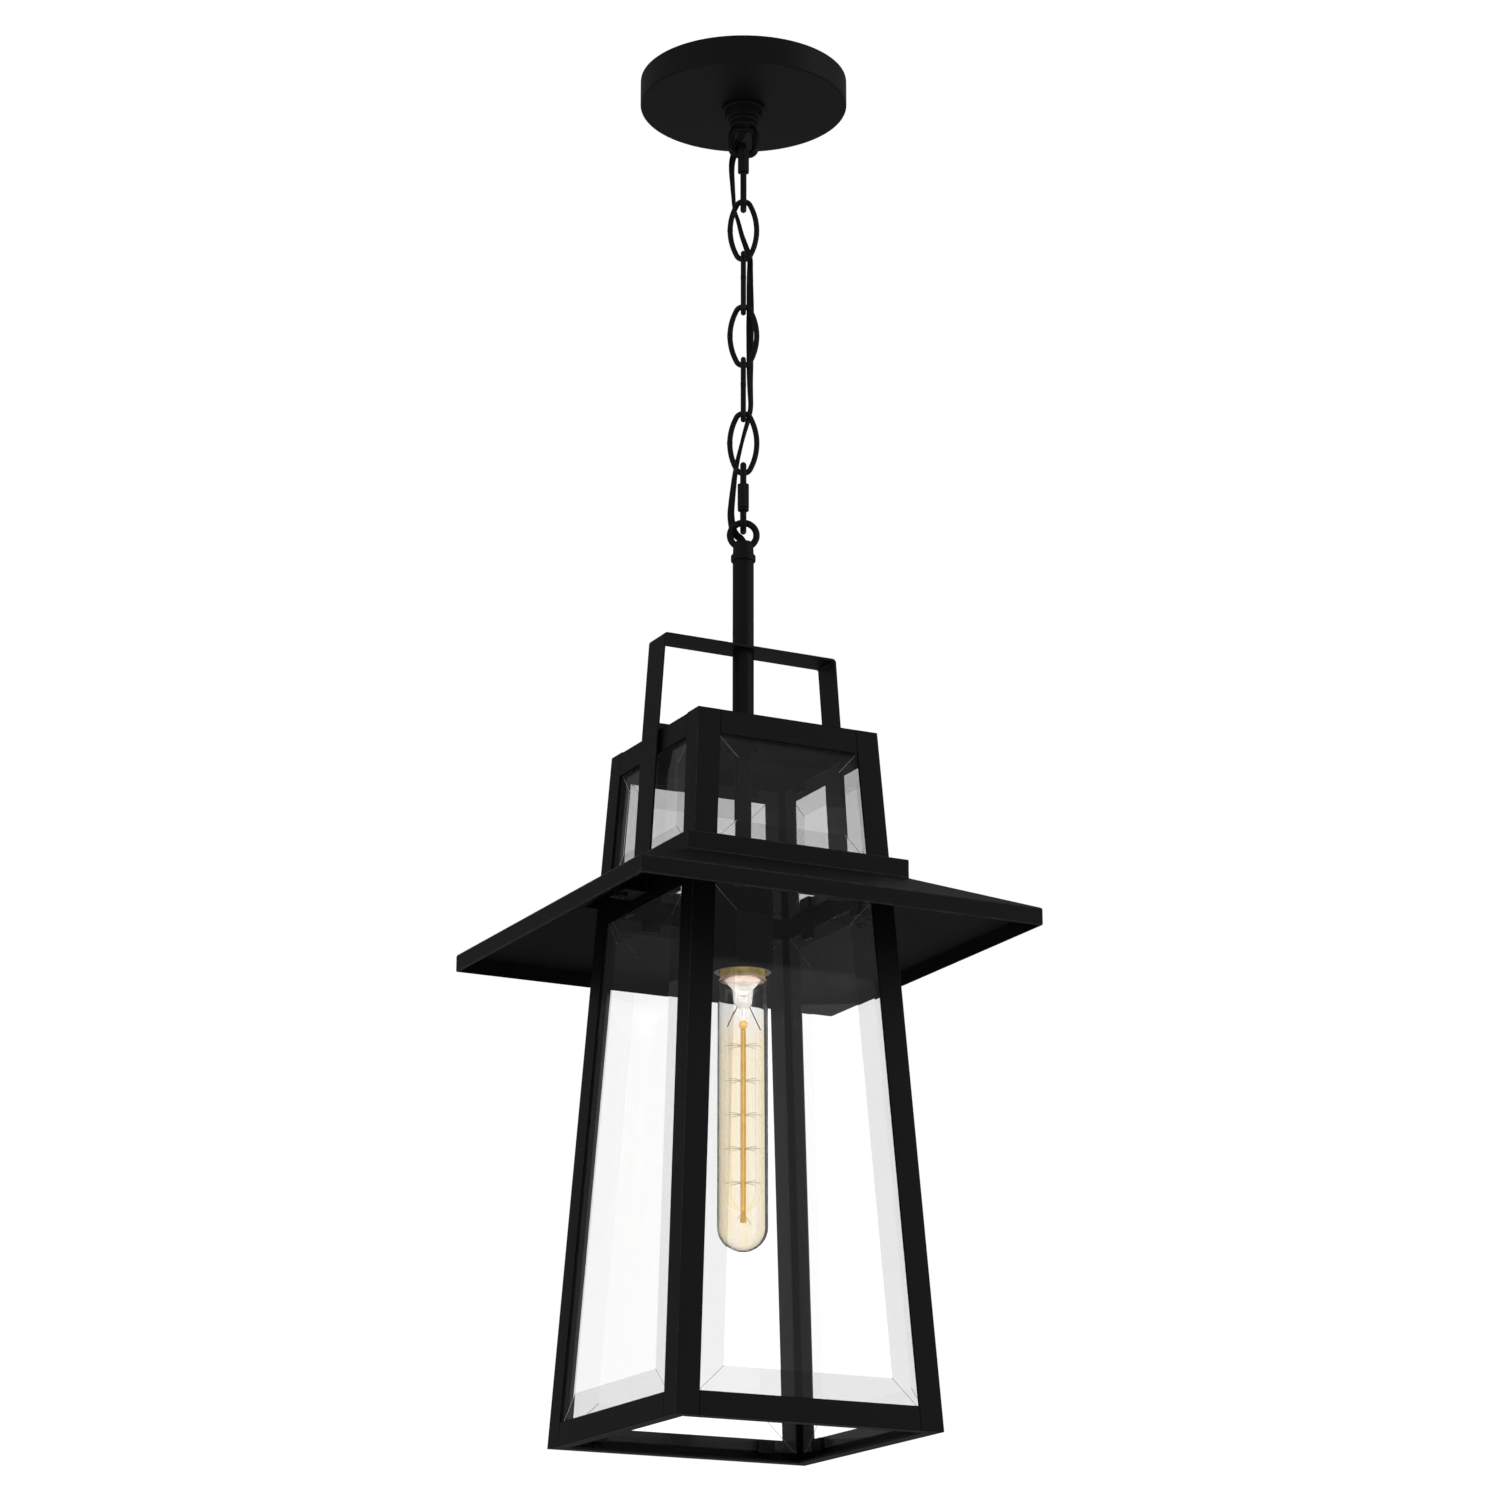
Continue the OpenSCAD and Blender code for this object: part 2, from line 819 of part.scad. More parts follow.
module roof() {
  far = fascia_half - roof_t;
  near = collar_half - roof_t;
  color("black")
    difference() {
      square_solid([
        [collar_half, collar_top_z],
        [collar_half, slope_top_z],
        [fascia_half, slope_bottom_z],
        [fascia_half, fascia_bottom_z]
      ]);
      square_solid([
        [near, collar_top_z - roof_t],
        [near, slope_under(near)],
        [far, slope_under(far)],
        [far, fascia_bottom_z - 1]
      ]);
      taper_block(collar_top_z - 5, collar_top_z + 5, 0);
      for (flip = [0, 1])
        mirror([flip, 0, 0])
          along_y(strap_w / 2)
            polygon([
              [half_at(collar_top_z), collar_top_z + 1],
              [leg_at(collar_top_z + 1), collar_top_z + 1],
              [leg_at(collar_top_z - 3), collar_top_z - 3],
              [half_at(collar_top_z), collar_top_z - 3]
            ]);
    }
}

// wedge cut off a pane's outer edge: it runs along X through the origin, and the pane lies above it
module bevel_wedge(length, bevel) {
  slope = bevel_depth / bevel;
  rotate([0, 90, 0])
    linear_extrude(height = length, center = true)
      polygon([[-bevel - 1 / slope, -1], [1, -1], [1, bevel_depth + slope]]);
}

// pane in the XZ plane, hanging from z = 0, outer face towards -Y, bevelled on all four outer edges
module bevelled_pane(top_half, bottom_half, height, bevel) {
  edge_angle = atan((bottom_half - top_half) / height);
  difference() {
    rotate([90, 0, 0])
      translate([0, 0, -glass_t])
        linear_extrude(height = glass_t)
          polygon([[-top_half, 0], [top_half, 0], [bottom_half, -height], [-bottom_half, -height]]);
    translate([0, 0, -height])
      bevel_wedge(2 * bottom_half + 2 * bevel, bevel);
    rotate([0, 180, 0])
      bevel_wedge(2 * top_half + 2 * bevel, bevel);
    for (flip = [0, 1])
      mirror([flip, 0, 0])
        translate([top_half, 0, 0])
          rotate([0, -90 - edge_angle, 0])
            translate([-height / 2, 0, 0])
              bevel_wedge(2 * height, bevel);
  }
}

// pane of one window, counted from the -Y face
module pane(number, window_top, window_bottom, bevel) {
  top_z = window_top + glass_lap;
  bottom_z = window_bottom - glass_lap;
  color("lightblue", 0.4)
    rotate([0, 0, 90 * (number - 1)])
      on_face(top_z, sheet)
        bevelled_pane(
          half_at(top_z) - flange_w + glass_lap,
          half_at(bottom_z) - flange_w + glass_lap,
          (top_z - bottom_z) / cos(taper_angle),
          bevel + glass_lap
        );
}

module upper_pane_1() {
  pane(1, upper_window_top, upper_window_bottom, upper_bevel);
}

module upper_pane_2() {
  pane(2, upper_window_top, upper_window_bottom, upper_bevel);
}

module upper_pane_3() {
  pane(3, upper_window_top, upper_window_bottom, upper_bevel);
}

module upper_pane_4() {
  pane(4, upper_window_top, upper_window_bottom, upper_bevel);
}

module lower_pane_1() {
  pane(1, lower_window_top, lower_window_bottom, lower_bevel);
}

module lower_pane_2() {
  pane(2, lower_window_top, lower_window_bottom, lower_bevel);
}

module lower_pane_3() {
  pane(3, lower_window_top, lower_window_bottom, lower_bevel);
}

module lower_pane_4() {
  pane(4, lower_window_top, lower_window_bottom, lower_bevel);
}

// angle clip on a rail: a foot under the glass edge and an upright behind the glass, down from z = 0
module glass_clip(foot_at) {
  translate([-clip_w / 2, glass_t, -clip_h])
    cube([clip_w, clip_t, clip_h]);
  translate([-clip_w / 2, 0, foot_at])
    cube([clip_w, glass_t + clip_t, clip_wall]);
}

module glass_clips() {
  top_clip_z = upper_window_top + glass_lap;
  color("dimgray")
    difference() {
      on_four_faces()
        for (side = [-1, 1]) {
          on_face(clip_z, sheet)
            translate([side * clip_mid, 0, 0])
              glass_clip(-clip_h);
          on_face(top_clip_z + clip_wall, sheet)
            translate([side * top_clip_x, 0, 0])
              glass_clip(-clip_wall);
          on_face(upper_window_bottom - glass_lap + clip_h - clip_wall, sheet)
            translate([side * top_clip_x, 0, 0])
              glass_clip(-clip_h);
          on_face(lower_window_top + glass_lap + clip_wall, sheet)
            translate([side * top_clip_x, 0, 0])
              glass_clip(-clip_wall);
        }
      clip_screw_holes();
    }
}

// holes for the screws that hold the lower clips to the bottom rails
module clip_screw_holes() {
  on_four_faces()
    for (side = [-1, 1])
      on_face(clip_z, 0)
        translate([side * clip_mid, 0, -clip_screw_drop])
          rotate([-90, 0, 0])
            cylinder(r = clip_screw_r, h = sheet + clip_screw_head_h, $fn = round_fn);
}

module clip_screws() {
  color("gray")
    on_four_faces()
      for (side = [-1, 1])
        on_face(clip_z, 0)
          translate([side * clip_mid, 0, -clip_screw_drop])
            rotate([-90, 0, 0]) {
              cylinder(r = clip_screw_r, h = sheet, $fn = round_fn);
              translate([0, 0, sheet])
                cylinder(r = clip_screw_head_r, h = clip_screw_head_h, $fn = round_fn);
            }
}

module inner_pipe() {
  color("black")
    tube(cup_top_z - 3, pipe_top_z, pipe_r, pipe_bore);
}

module pipe_nuts() {
  nut_top = cage_top_z - sheet;
  color("black") {
    hex_nut(nut_top - nut_h, nut_top, nut_af, pipe_r);
    hex_nut(cup_top_z, cup_top_z + nut_h, nut_af, pipe_r);
  }
}

module socket_cup() {
  shoulder = 5;
  color("black")
    difference() {
      rotate_extrude($fn = round_fn) {
        translate([0, cup_rim_z])
          square([cup_r, cup_top_z - cup_rim_z - shoulder]);
        translate([0, cup_rim_z])
          square([cup_r - shoulder, cup_top_z - cup_rim_z]);
        translate([cup_r - shoulder, cup_top_z - shoulder])
          circle(r = shoulder, $fn = round_fn);
      }
      column(cup_rim_z - 1, cup_top_z - shoulder, cup_r - cup_wall);
      column(cup_top_z - shoulder - 1, cup_top_z - cup_wall, cup_r - shoulder);
      column(cup_top_z - 10, cup_top_z + 1, pipe_r);
    }
}

module socket_insulator() {
  color("white")
    difference() {
      column(socket_rim_z, socket_top_z, socket_r);
      column(socket_rim_z - 1, socket_floor_z, shell_r);
      column(socket_floor_z - 1, socket_top_z + 1, lead_hole_r);
    }
}

module socket_shell() {
  color("gold")
    tube(shell_rim_z, socket_floor_z, shell_r, shell_bore);
}

module socket_contact() {
  color("gold")
    tube(contact_z, socket_floor_z, contact_r, lead_hole_r);
}

module bulb_base() {
  color("gold") {
    difference() {
      union() {
        column(skirt_top_z, base_top_z, base_r);
        column(base_bottom_z, skirt_top_z + eps, skirt_r);
        translate([0, 0, base_top_z])
          cylinder(r1 = base_cone_r, r2 = base_tip_r, h = bulb_top_z - base_top_z, $fn = round_fn);
        translate([0, 0, base_bottom_z])
          cylinder(r1 = base_lip_r, r2 = skirt_r, h = base_lip_h, $fn = round_fn);
      }
      column(base_bottom_z - 1, base_top_z - base_wall, glass_neck_r);
    }
  }
}

// the bulb's glass as a solid, shrunk by a wall
module bulb_solid(wall) {
  r = bulb_r - wall;
  neck = glass_neck_r - wall;
  dome_z = bulb_tip_z + bulb_r;
  top_z = wall > 0 ? glass_neck_z + 1 : glass_neck_z;
  rotate_extrude($fn = round_fn)
    polygon([
      [0, top_z],
      [neck, top_z],
      [neck, base_bottom_z],
      [r, glass_full_z],
      [r, dome_z],
      [0, dome_z]
    ]);
  translate([0, 0, dome_z])
    sphere(r = r, $fn = round_fn);
}

module bulb_glass() {
  color("orange", 0.5)
    difference() {
      bulb_solid(0);
      bulb_solid(bulb_wall);
    }
}

module bulb_mount() {
  color("orange", 0.6)
    union() {
      translate([0, 0, press_top_z])
        cylinder(r1 = press_top_r, r2 = glass_neck_r - bulb_wall, h = mount_top_z - press_top_z, $fn = round_fn);
      translate([0, 0, press_bottom_z])
        cylinder(r1 = press_bottom_r, r2 = press_top_r, h = press_top_z - press_bottom_z, $fn = round_fn);
      column(rod_bottom_z, press_bottom_z, rod_r);
      translate([0, 0, bead_z])
        sphere(r = bead_r, $fn = round_fn);
    }
}

module bulb_filament() {
  color("darkorange") {
    for (z = support_z)
      for (i = [0 : strand_count - 1])
        rotate([0, 0, i * 360 / strand_count])
          translate([rod_r, 0, z])
            rotate([0, 90, 0])
              cylinder(r = strand_r, h = strand_ring_r - rod_r, $fn = 12);
    for (i = [0 : strand_count - 1])
      rotate([0, 0, i * 360 / strand_count])
        translate([strand_ring_r, 0, 0])
          column(strand_bottom_z, strand_top_z, strand_r);
  }
}

module lamp_leads() {
  color("white")
    for (side = [-1, 1])
      translate([side * lead_x, 0, 0])
        column(socket_floor_z, pipe_top_z, lead_r);
}

// point on a smooth curve through four route points
function curve_point(a, b, c, d, t) =
  0.5 * (2 * b + (c - a) * t + (2 * a - 5 * b + 4 * c - d) * t * t + (3 * b - a - 3 * c + d) * t * t * t);

// point of the cord's centre line, counted in knots from the top
function on_route(at) =
  let (
    p = cord_knots,
    n = len(p) - 1,
    k = min(floor(at), n - 1)
  )
  curve_point(p[max(k - 1, 0)], p[k], p[k + 1], p[min(k + 2, n)], at - k);

// one cross-section of the twisted flat cord
function cord_ring(at) =
  let (
    n = len(cord_knots) - 1,
    c = on_route(at),
    ahead = on_route(min(at + 0.05, n)) - on_route(max(at - 0.05, 0)),
    dir = ahead / norm(ahead),
    side = cross(dir, [0, 1, 0]),
    flat = side / norm(side),
    deep = cross(dir, flat),
    turn = 360 * (c[2] - cord_flat_z) / cord_twist_len
  )
  [for (j = [0 : cord_sides - 1])
    let (
      a = 360 * j / cord_sides,
      w = cord_w / 2 * cos(a),
      t = cord_t / 2 * sin(a)
    )
    c + flat * (w * cos(turn) - t * sin(turn)) + deep * (w * sin(turn) + t * cos(turn))];

// one length of the cord, counted from the top
module cord_length(i) {
  first = cord_ends[i] + cord_gap;
  span = cord_ends[i + 1] - cord_gap - first;
  rings = [for (k = [0 : cord_rings]) cord_ring(first + span * k / cord_rings)];
  points = [for (r = rings) each r];
  last = cord_rings * cord_sides;
  color("black")
    rotate([0, 0, chain_yaw])
      polyhedron(
        points = points,
        faces = concat(
          [[for (j = [0 : cord_sides - 1]) j]],
          [for (k = [0 : cord_rings - 1]) for (j = [0 : cord_sides - 1])
            [k * cord_sides + j, (k + 1) * cord_sides + j, (k + 1) * cord_sides + (j + 1) % cord_sides]],
          [for (k = [0 : cord_rings - 1]) for (j = [0 : cord_sides - 1])
            [k * cord_sides + j, (k + 1) * cord_sides + (j + 1) % cord_sides, k * cord_sides + (j + 1) % cord_sides]],
          [[for (j = [cord_sides - 1 : -1 : 0]) last + j]]
        )
      );
}

module supply_cord_1() {
  cord_length(0);
}

module supply_cord_2() {
  cord_length(1);
}

module supply_cord_3() {
  cord_length(2);
}

module supply_cord_4() {
  cord_length(3);
}

module supply_cord_5() {
  cord_length(4);
}

module supply_cord_6() {
  cord_length(5);
}

module supply_cord_7() {
  cord_length(6);
}

module supply_cord_8() {
  cord_length(7);
}

crossbar();
nipple();
nipple_nuts();
ground_screw();
canopy();
collar_ring();
canopy_loop();
quick_link_top();
quick_link_top_sleeve();
link_1();
link_2();
link_3();
link_4();
link_5();
quick_link_bottom();
quick_link_bottom_sleeve();
stem_loop();
stem_shoulder();
stem_tube();
handle_strap();
handle_cross_strap();
foot_screws();
roof_bosses();
leg_rivets();
top_plate();
corner_posts();
top_rails();
mid_rails();
bottom_rails();
roof();
upper_pane_1();
upper_pane_2();
upper_pane_3();
upper_pane_4();
lower_pane_1();
lower_pane_2();
lower_pane_3();
lower_pane_4();
glass_clips();
clip_screws();
inner_pipe();
pipe_nuts();
socket_cup();
socket_insulator();
socket_shell();
socket_contact();
bulb_base();
bulb_glass();
bulb_mount();
bulb_filament();
lamp_leads();
supply_cord_1();
supply_cord_2();
supply_cord_3();
supply_cord_4();
supply_cord_5();
supply_cord_6();
supply_cord_7();
supply_cord_8();
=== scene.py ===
import math

import bmesh
import bpy
from mathutils import Matrix, Vector


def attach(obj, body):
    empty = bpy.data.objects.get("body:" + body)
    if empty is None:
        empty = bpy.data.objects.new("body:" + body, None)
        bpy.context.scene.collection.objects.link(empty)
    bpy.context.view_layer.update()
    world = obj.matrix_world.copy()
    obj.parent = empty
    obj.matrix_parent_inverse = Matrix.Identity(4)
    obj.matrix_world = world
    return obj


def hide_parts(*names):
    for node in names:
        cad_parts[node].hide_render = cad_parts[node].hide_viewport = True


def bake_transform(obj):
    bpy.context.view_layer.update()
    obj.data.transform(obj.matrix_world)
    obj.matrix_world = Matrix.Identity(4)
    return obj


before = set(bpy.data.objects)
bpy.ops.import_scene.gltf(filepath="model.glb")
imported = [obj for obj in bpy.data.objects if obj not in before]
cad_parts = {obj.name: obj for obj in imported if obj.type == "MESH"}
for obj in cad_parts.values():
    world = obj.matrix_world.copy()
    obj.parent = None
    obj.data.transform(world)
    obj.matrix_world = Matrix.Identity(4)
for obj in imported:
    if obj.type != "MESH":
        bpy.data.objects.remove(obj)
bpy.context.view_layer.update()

MM = 0.001
CHAIN_YAW = math.radians(-27)
ALONG = Vector((math.cos(CHAIN_YAW), math.sin(CHAIN_YAW), 0))
ACROSS = Vector((-math.sin(CHAIN_YAW), math.cos(CHAIN_YAW), 0))
UP = Vector((0, 0, 1))
CORNERS = ((-1, -1), (1, -1), (1, 1), (-1, 1))

# Sizes in millimetres, the same as the CAD's.
CAGE_TOP_Z, CAGE_BOTTOM_Z, CAGE_TOP_HALF, TAPER = -429.7, -835.4, 58.1, 0.0604
SHEET, FLANGE_W, LIP_W, GLASS_T, GLASS_LAP = 1.5, 14.5, 9.0, 3.0, 7.0
STRAP_W, STRAP_T, STRAP_OFF = 20.6, 1.5, 1.5
TOP_RAIL_Z, BOTTOM_RAIL_Z = -444.0, -821.9  # lower edge of the top rails, upper edge of the bottom ones
MID_TOP_Z, MID_BOTTOM_Z = -507.2, -533.7
STRAP_TOP_Z = -426.3  # upper face of the cross strap, where the stem ends
FOOT_Z, FOOT_SCREW_X = -529.0, 77.9
ROOF_IN, ROOF_OUT, ROOF_SHEET = 71, 126.4, 1.53
ROOF_TOP_Z, ROOF_FOLD_Z, ROOF_EDGE_Z, ROOF_LOW_Z = -507.1, -518.2, -542.3, -552.3
ROOF_DROP = (ROOF_FOLD_Z - ROOF_EDGE_Z) / (ROOF_OUT - ROOF_IN)


def half_at(z):
    return CAGE_TOP_HALF + TAPER * (CAGE_TOP_Z - z)


def leg_at(z):
    return half_at(z) + STRAP_OFF + STRAP_T


def roof_slope_z(out):
    """Height of the roof's upper face at a distance out from the lamp's axis."""
    return ROOF_FOLD_Z - ROOF_DROP * (out - ROOF_IN)


# ---------------------------------------------------------------- materials
SHADER = "Principled BSDF"


def principled(name, **values):
    """A new material with its node tree and Principled shader."""
    m = bpy.data.materials.new(name)
    m.use_nodes = True
    nt = m.node_tree
    shader = nt.nodes[SHADER]
    for key, value in values.items():
        shader.inputs[key.replace("_", " ")].default_value = value
    return m, nt, shader


def noise(nt, scale, detail=2.0, rough=0.5):
    coords = nt.nodes.get("coords") or nt.nodes.new("ShaderNodeTexCoord")
    coords.name = "coords"
    n = nt.nodes.new("ShaderNodeTexNoise")
    n.inputs["Scale"].default_value = scale
    n.inputs["Detail"].default_value = detail
    n.inputs["Roughness"].default_value = rough
    nt.links.new(coords.outputs["Object"], n.inputs["Vector"])
    return n.outputs["Fac"]


def ramp(nt, source, stops):
    r = nt.nodes.new("ShaderNodeValToRGB")
    while len(r.color_ramp.elements) < len(stops):
        r.color_ramp.elements.new(0.5)
    for e, (at, colour) in zip(r.color_ramp.elements, stops):
        e.position = at
        e.color = (*colour, 1)
    nt.links.new(source, r.inputs["Fac"])
    return r.outputs["Color"]


def spread(nt, source, low, high, start=0.3, end=0.7):
    r = nt.nodes.new("ShaderNodeMapRange")
    r.inputs["From Min"].default_value = start
    r.inputs["From Max"].default_value = end
    r.inputs["To Min"].default_value = low
    r.inputs["To Max"].default_value = high
    nt.links.new(source, r.inputs["Value"])
    return r.outputs["Result"]


def feed(nt, socket, value):
    """Sets a socket to a number or an RGB colour, or links a node's output to it."""
    if isinstance(value, (int, float)):
        socket.default_value = value
    elif isinstance(value, tuple):
        socket.default_value = (*value, 1)
    else:
        nt.links.new(value, socket)


def calculate(nt, operation, a, b, clamp=False):
    m = nt.nodes.new("ShaderNodeMath")
    m.operation = operation
    m.use_clamp = clamp
    feed(nt, m.inputs[0], a)
    feed(nt, m.inputs[1], b)
    return m.outputs[0]


def times(nt, a, b):
    return calculate(nt, "MULTIPLY", a, b, True)


def mix_colour(nt, fac, a, b):
    m = nt.nodes.new("ShaderNodeMix")
    m.data_type = "RGBA"
    nt.links.new(fac, m.inputs["Factor"])
    feed(nt, m.inputs[6], a)
    feed(nt, m.inputs[7], b)
    return m.outputs[2]


def mix_value(nt, fac, a, b):
    m = nt.nodes.new("ShaderNodeMix")
    nt.links.new(fac, m.inputs["Factor"])
    feed(nt, m.inputs[2], a)
    feed(nt, m.inputs[3], b)
    return m.outputs[0]


def bump(nt, shader, layers):
    """Stacks bump layers of (height, distance in metres, strength) on the shader's normal."""
    last = None
    for height, distance, strength in layers:
        b = nt.nodes.new("ShaderNodeBump")
        b.inputs["Distance"].default_value = distance
        b.inputs["Strength"].default_value = strength
        nt.links.new(height, b.inputs["Height"])
        if last is not None:
            nt.links.new(last, b.inputs["Normal"])
        last = b.outputs["Normal"]
    nt.links.new(last, shader.inputs["Normal"])


def wear_and_highlight_mask(nt, scale, low, high):
    """Where bevelled edges wear and carry a painted highlight line: the mesh's edge attribute, broken up by
    noise.
    """
    a = nt.nodes.new("ShaderNodeAttribute")
    a.attribute_name = "edge"
    return times(nt, a.outputs["Fac"], spread(nt, noise(nt, scale, 3, 0.6), low, high, 0.42, 0.62))


def powder_coat(name, dark, light, rough_low, rough_high, wear_and_highlight_colour=(0.075, 0.075, 0.073)):
    m, nt, s = principled(name, Specular_IOR_Level=0.45)
    cloud = noise(nt, 26, 3, 0.55)
    grain = noise(nt, 1500, 2, 0.5)
    peel = noise(nt, 420, 2, 0.4)
    mask = wear_and_highlight_mask(nt, 210, 0.4, 1.0)
    edge = nt.nodes.new("ShaderNodeAttribute")
    edge.attribute_name = "edge"
    # bevels marked -1 are painted near-black with almost no sheen: painted shade in the joints between parts
    painted_joint_shade = times(nt, edge.outputs["Fac"], -1.0)
    nt.links.new(mix_value(nt, painted_joint_shade, 0.45, 0.02), s.inputs["Specular IOR Level"])
    colour = mix_colour(nt, painted_joint_shade, ramp(nt, cloud, [(0.3, dark), (0.7, light)]), (0.001, 0.001, 0.001))
    # the light edge colour on bevels marked 1 is partly wear and partly a painted highlight line
    nt.links.new(mix_colour(nt, mask, colour, wear_and_highlight_colour), s.inputs["Base Color"])
    rough = spread(nt, cloud, rough_low, rough_high)
    fine = mix_value(nt, spread(nt, grain, 0, 1, 0.35, 0.65), rough, rough_high + 0.06)
    nt.links.new(mix_value(nt, mask, fine, rough_low - 0.06), s.inputs["Roughness"])
    bump(nt, s, [(peel, 0.00006, 0.2), (grain, 0.00001, 0.3)])
    return m


black = powder_coat("black_powder_coat", (0.0085, 0.0085, 0.009), (0.0125, 0.0125, 0.013), 0.4, 0.5)
black_wire = powder_coat(
    "black_wire_coat", (0.009, 0.009, 0.0095), (0.014, 0.014, 0.0145), 0.36, 0.46, (0.06, 0.058, 0.055)
)


def metal_finish(name, dark, light, rough_low, rough_high, metallic=1.0, scratch=900):
    m, nt, s = principled(name, Metallic=metallic)
    cloud = noise(nt, 60, 4, 0.6)
    grain = noise(nt, scratch, 3, 0.6)
    nt.links.new(ramp(nt, cloud, [(0.3, dark), (0.7, light)]), s.inputs["Base Color"])
    nt.links.new(spread(nt, grain, rough_low, rough_high), s.inputs["Roughness"])
    bump(nt, s, [(grain, 0.00003, 0.4)])
    return m


screw_black = metal_finish("blackened_screw", (0.03, 0.03, 0.032), (0.055, 0.053, 0.05), 0.3, 0.45, 0.7)
zinc = metal_finish("zinc_plate", (0.5, 0.5, 0.49), (0.66, 0.65, 0.61), 0.28, 0.42)
green_plate = metal_finish("green_plate", (0.02, 0.16, 0.06), (0.04, 0.26, 0.1), 0.3, 0.42, 0.8)
brass = metal_finish("brass", (0.55, 0.39, 0.13), (0.78, 0.58, 0.24), 0.24, 0.4)
copper = metal_finish("lead_wire", (0.32, 0.17, 0.08), (0.5, 0.27, 0.13), 0.3, 0.45)
solder = metal_finish("solder", (0.45, 0.45, 0.46), (0.62, 0.62, 0.63), 0.35, 0.5)


def plastic(name, dark, light, rough_low, rough_high, pebble=700, depth=0.00004):
    m, nt, s = principled(name, Specular_IOR_Level=0.4)
    cloud = noise(nt, 45, 3, 0.55)
    grain = noise(nt, pebble, 3, 0.6)
    nt.links.new(ramp(nt, cloud, [(0.3, dark), (0.7, light)]), s.inputs["Base Color"])
    nt.links.new(spread(nt, grain, rough_low, rough_high), s.inputs["Roughness"])
    bump(nt, s, [(grain, depth, 0.5)])
    return m


cord_black = plastic("cord_jacket", (0.008, 0.008, 0.008), (0.014, 0.014, 0.014), 0.42, 0.56)
lead_white = plastic("lead_insulation", (0.62, 0.61, 0.57), (0.74, 0.73, 0.7), 0.4, 0.55)
porcelain = plastic("porcelain", (0.78, 0.76, 0.7), (0.86, 0.84, 0.79), 0.12, 0.2, 300, 0.00002)
vitrite = plastic("black_glass_ring", (0.012, 0.012, 0.014), (0.02, 0.02, 0.022), 0.12, 0.2, 300, 0.00002)


def clear_glass(name, colour, rough, painted_glow_veil=0.0035):
    """Thin panes: the coat carries the reflections, so what is behind is hardly shifted."""
    # the white emission is painted light: a faint glow veiling the glass
    m, nt, s = principled(
        name, Transmission_Weight=1.0, IOR=1.08, Base_Color=(*colour, 1), Coat_Weight=1.0, Coat_IOR=1.46,
        Coat_Roughness=0.0, Emission_Color=(1, 1, 1, 1), Emission_Strength=painted_glow_veil,
    )
    smear = noise(nt, 38, 4, 0.65)
    nt.links.new(spread(nt, smear, 0.0, rough, 0.5, 0.75), s.inputs["Roughness"])
    wave = noise(nt, 9, 1, 0.4)
    bump(nt, s, [(wave, 0.0002, 0.005)])
    return m


# The grey tints are painted shade: the lower panes' bevels are greyed for the dark things they would refract,
# paler on the two far panes, and the upper panes are a darker grey copy of the clear glass.
pane_face = clear_glass("clear_pane", (1.0, 1.0, 1.0), 0.004)
bevel_painted_shade = clear_glass("bevel_glass_painted_shade", (0.62, 0.62, 0.62), 0.01)
far_bevel_paler_shade = clear_glass("far_bevel_glass_paler_shade", (0.92, 0.92, 0.92), 0.01)
upper_pane_painted_shade = clear_glass("upper_pane_glass_painted_shade", (0.74, 0.74, 0.74), 0.004)
upper_bevel_painted_shade = clear_glass("upper_bevel_glass_painted_shade", (0.5, 0.5, 0.5), 0.01)
pane_edge = clear_glass("pane_edge", (0.3, 0.36, 0.34), 0.25)


mitre_line = plastic("ground_mitre", (0.72, 0.73, 0.73), (0.86, 0.87, 0.87), 0.35, 0.5, 900, 0.00001)
mitre_line.node_tree.nodes[SHADER].inputs["Transmission Weight"].default_value = 0.35


def bulb_tint():
    m, nt, s = principled(
        "amber_bulb_glass", Transmission_Weight=1.0, IOR=1.2, Coat_Weight=1.0, Coat_Roughness=0.0
    )
    coords = nt.nodes.new("ShaderNodeTexCoord")
    split = nt.nodes.new("ShaderNodeSeparateXYZ")
    nt.links.new(coords.outputs["Object"], split.inputs["Vector"])
    down = spread(nt, split.outputs["Z"], 0.0, 1.0, -0.586, -0.606)
    drawn = nt.nodes.new("ShaderNodeVectorMath")
    drawn.operation = "MULTIPLY"
    drawn.inputs[1].default_value = (1, 1, 0.03)
    nt.links.new(coords.outputs["Object"], drawn.inputs[0])
    stripes = nt.nodes.new("ShaderNodeTexNoise")
    stripes.inputs["Scale"].default_value = 190
    stripes.inputs["Detail"].default_value = 2
    nt.links.new(drawn.outputs[0], stripes.inputs["Vector"])
    tint = ramp(nt, stripes.outputs["Fac"], [(0.35, (1.0, 0.92, 0.76)), (0.65, (1.0, 0.975, 0.92))])
    nt.links.new(mix_colour(nt, down, (0.97, 0.97, 0.96), tint), s.inputs["Base Color"])
    nt.links.new(spread(nt, noise(nt, 120, 3, 0.6), 0.0, 0.03, 0.5, 0.8), s.inputs["Roughness"])
    return m


bulb_amber = bulb_tint()


# An emissive material: the filament strands glow as the lamp, while the other bulb parts made with it glow as
# painted light.
def glow_and_painted_light(name, dark, light, strength):
    m, nt, s = principled(name, Roughness=0.35, Emission_Strength=strength)
    tone = ramp(nt, noise(nt, 160, 3, 0.6), [(0.3, dark), (0.7, light)])
    nt.links.new(tone, s.inputs["Base Color"])
    nt.links.new(tone, s.inputs["Emission Color"])
    return m


def glass_with_painted_glow(name, dark, light, strength, transmission):
    m = glow_and_painted_light(name, dark, light, strength)
    shader = m.node_tree.nodes[SHADER]
    shader.inputs["Transmission Weight"].default_value = transmission
    shader.inputs["Roughness"].default_value = 0.12
    return m
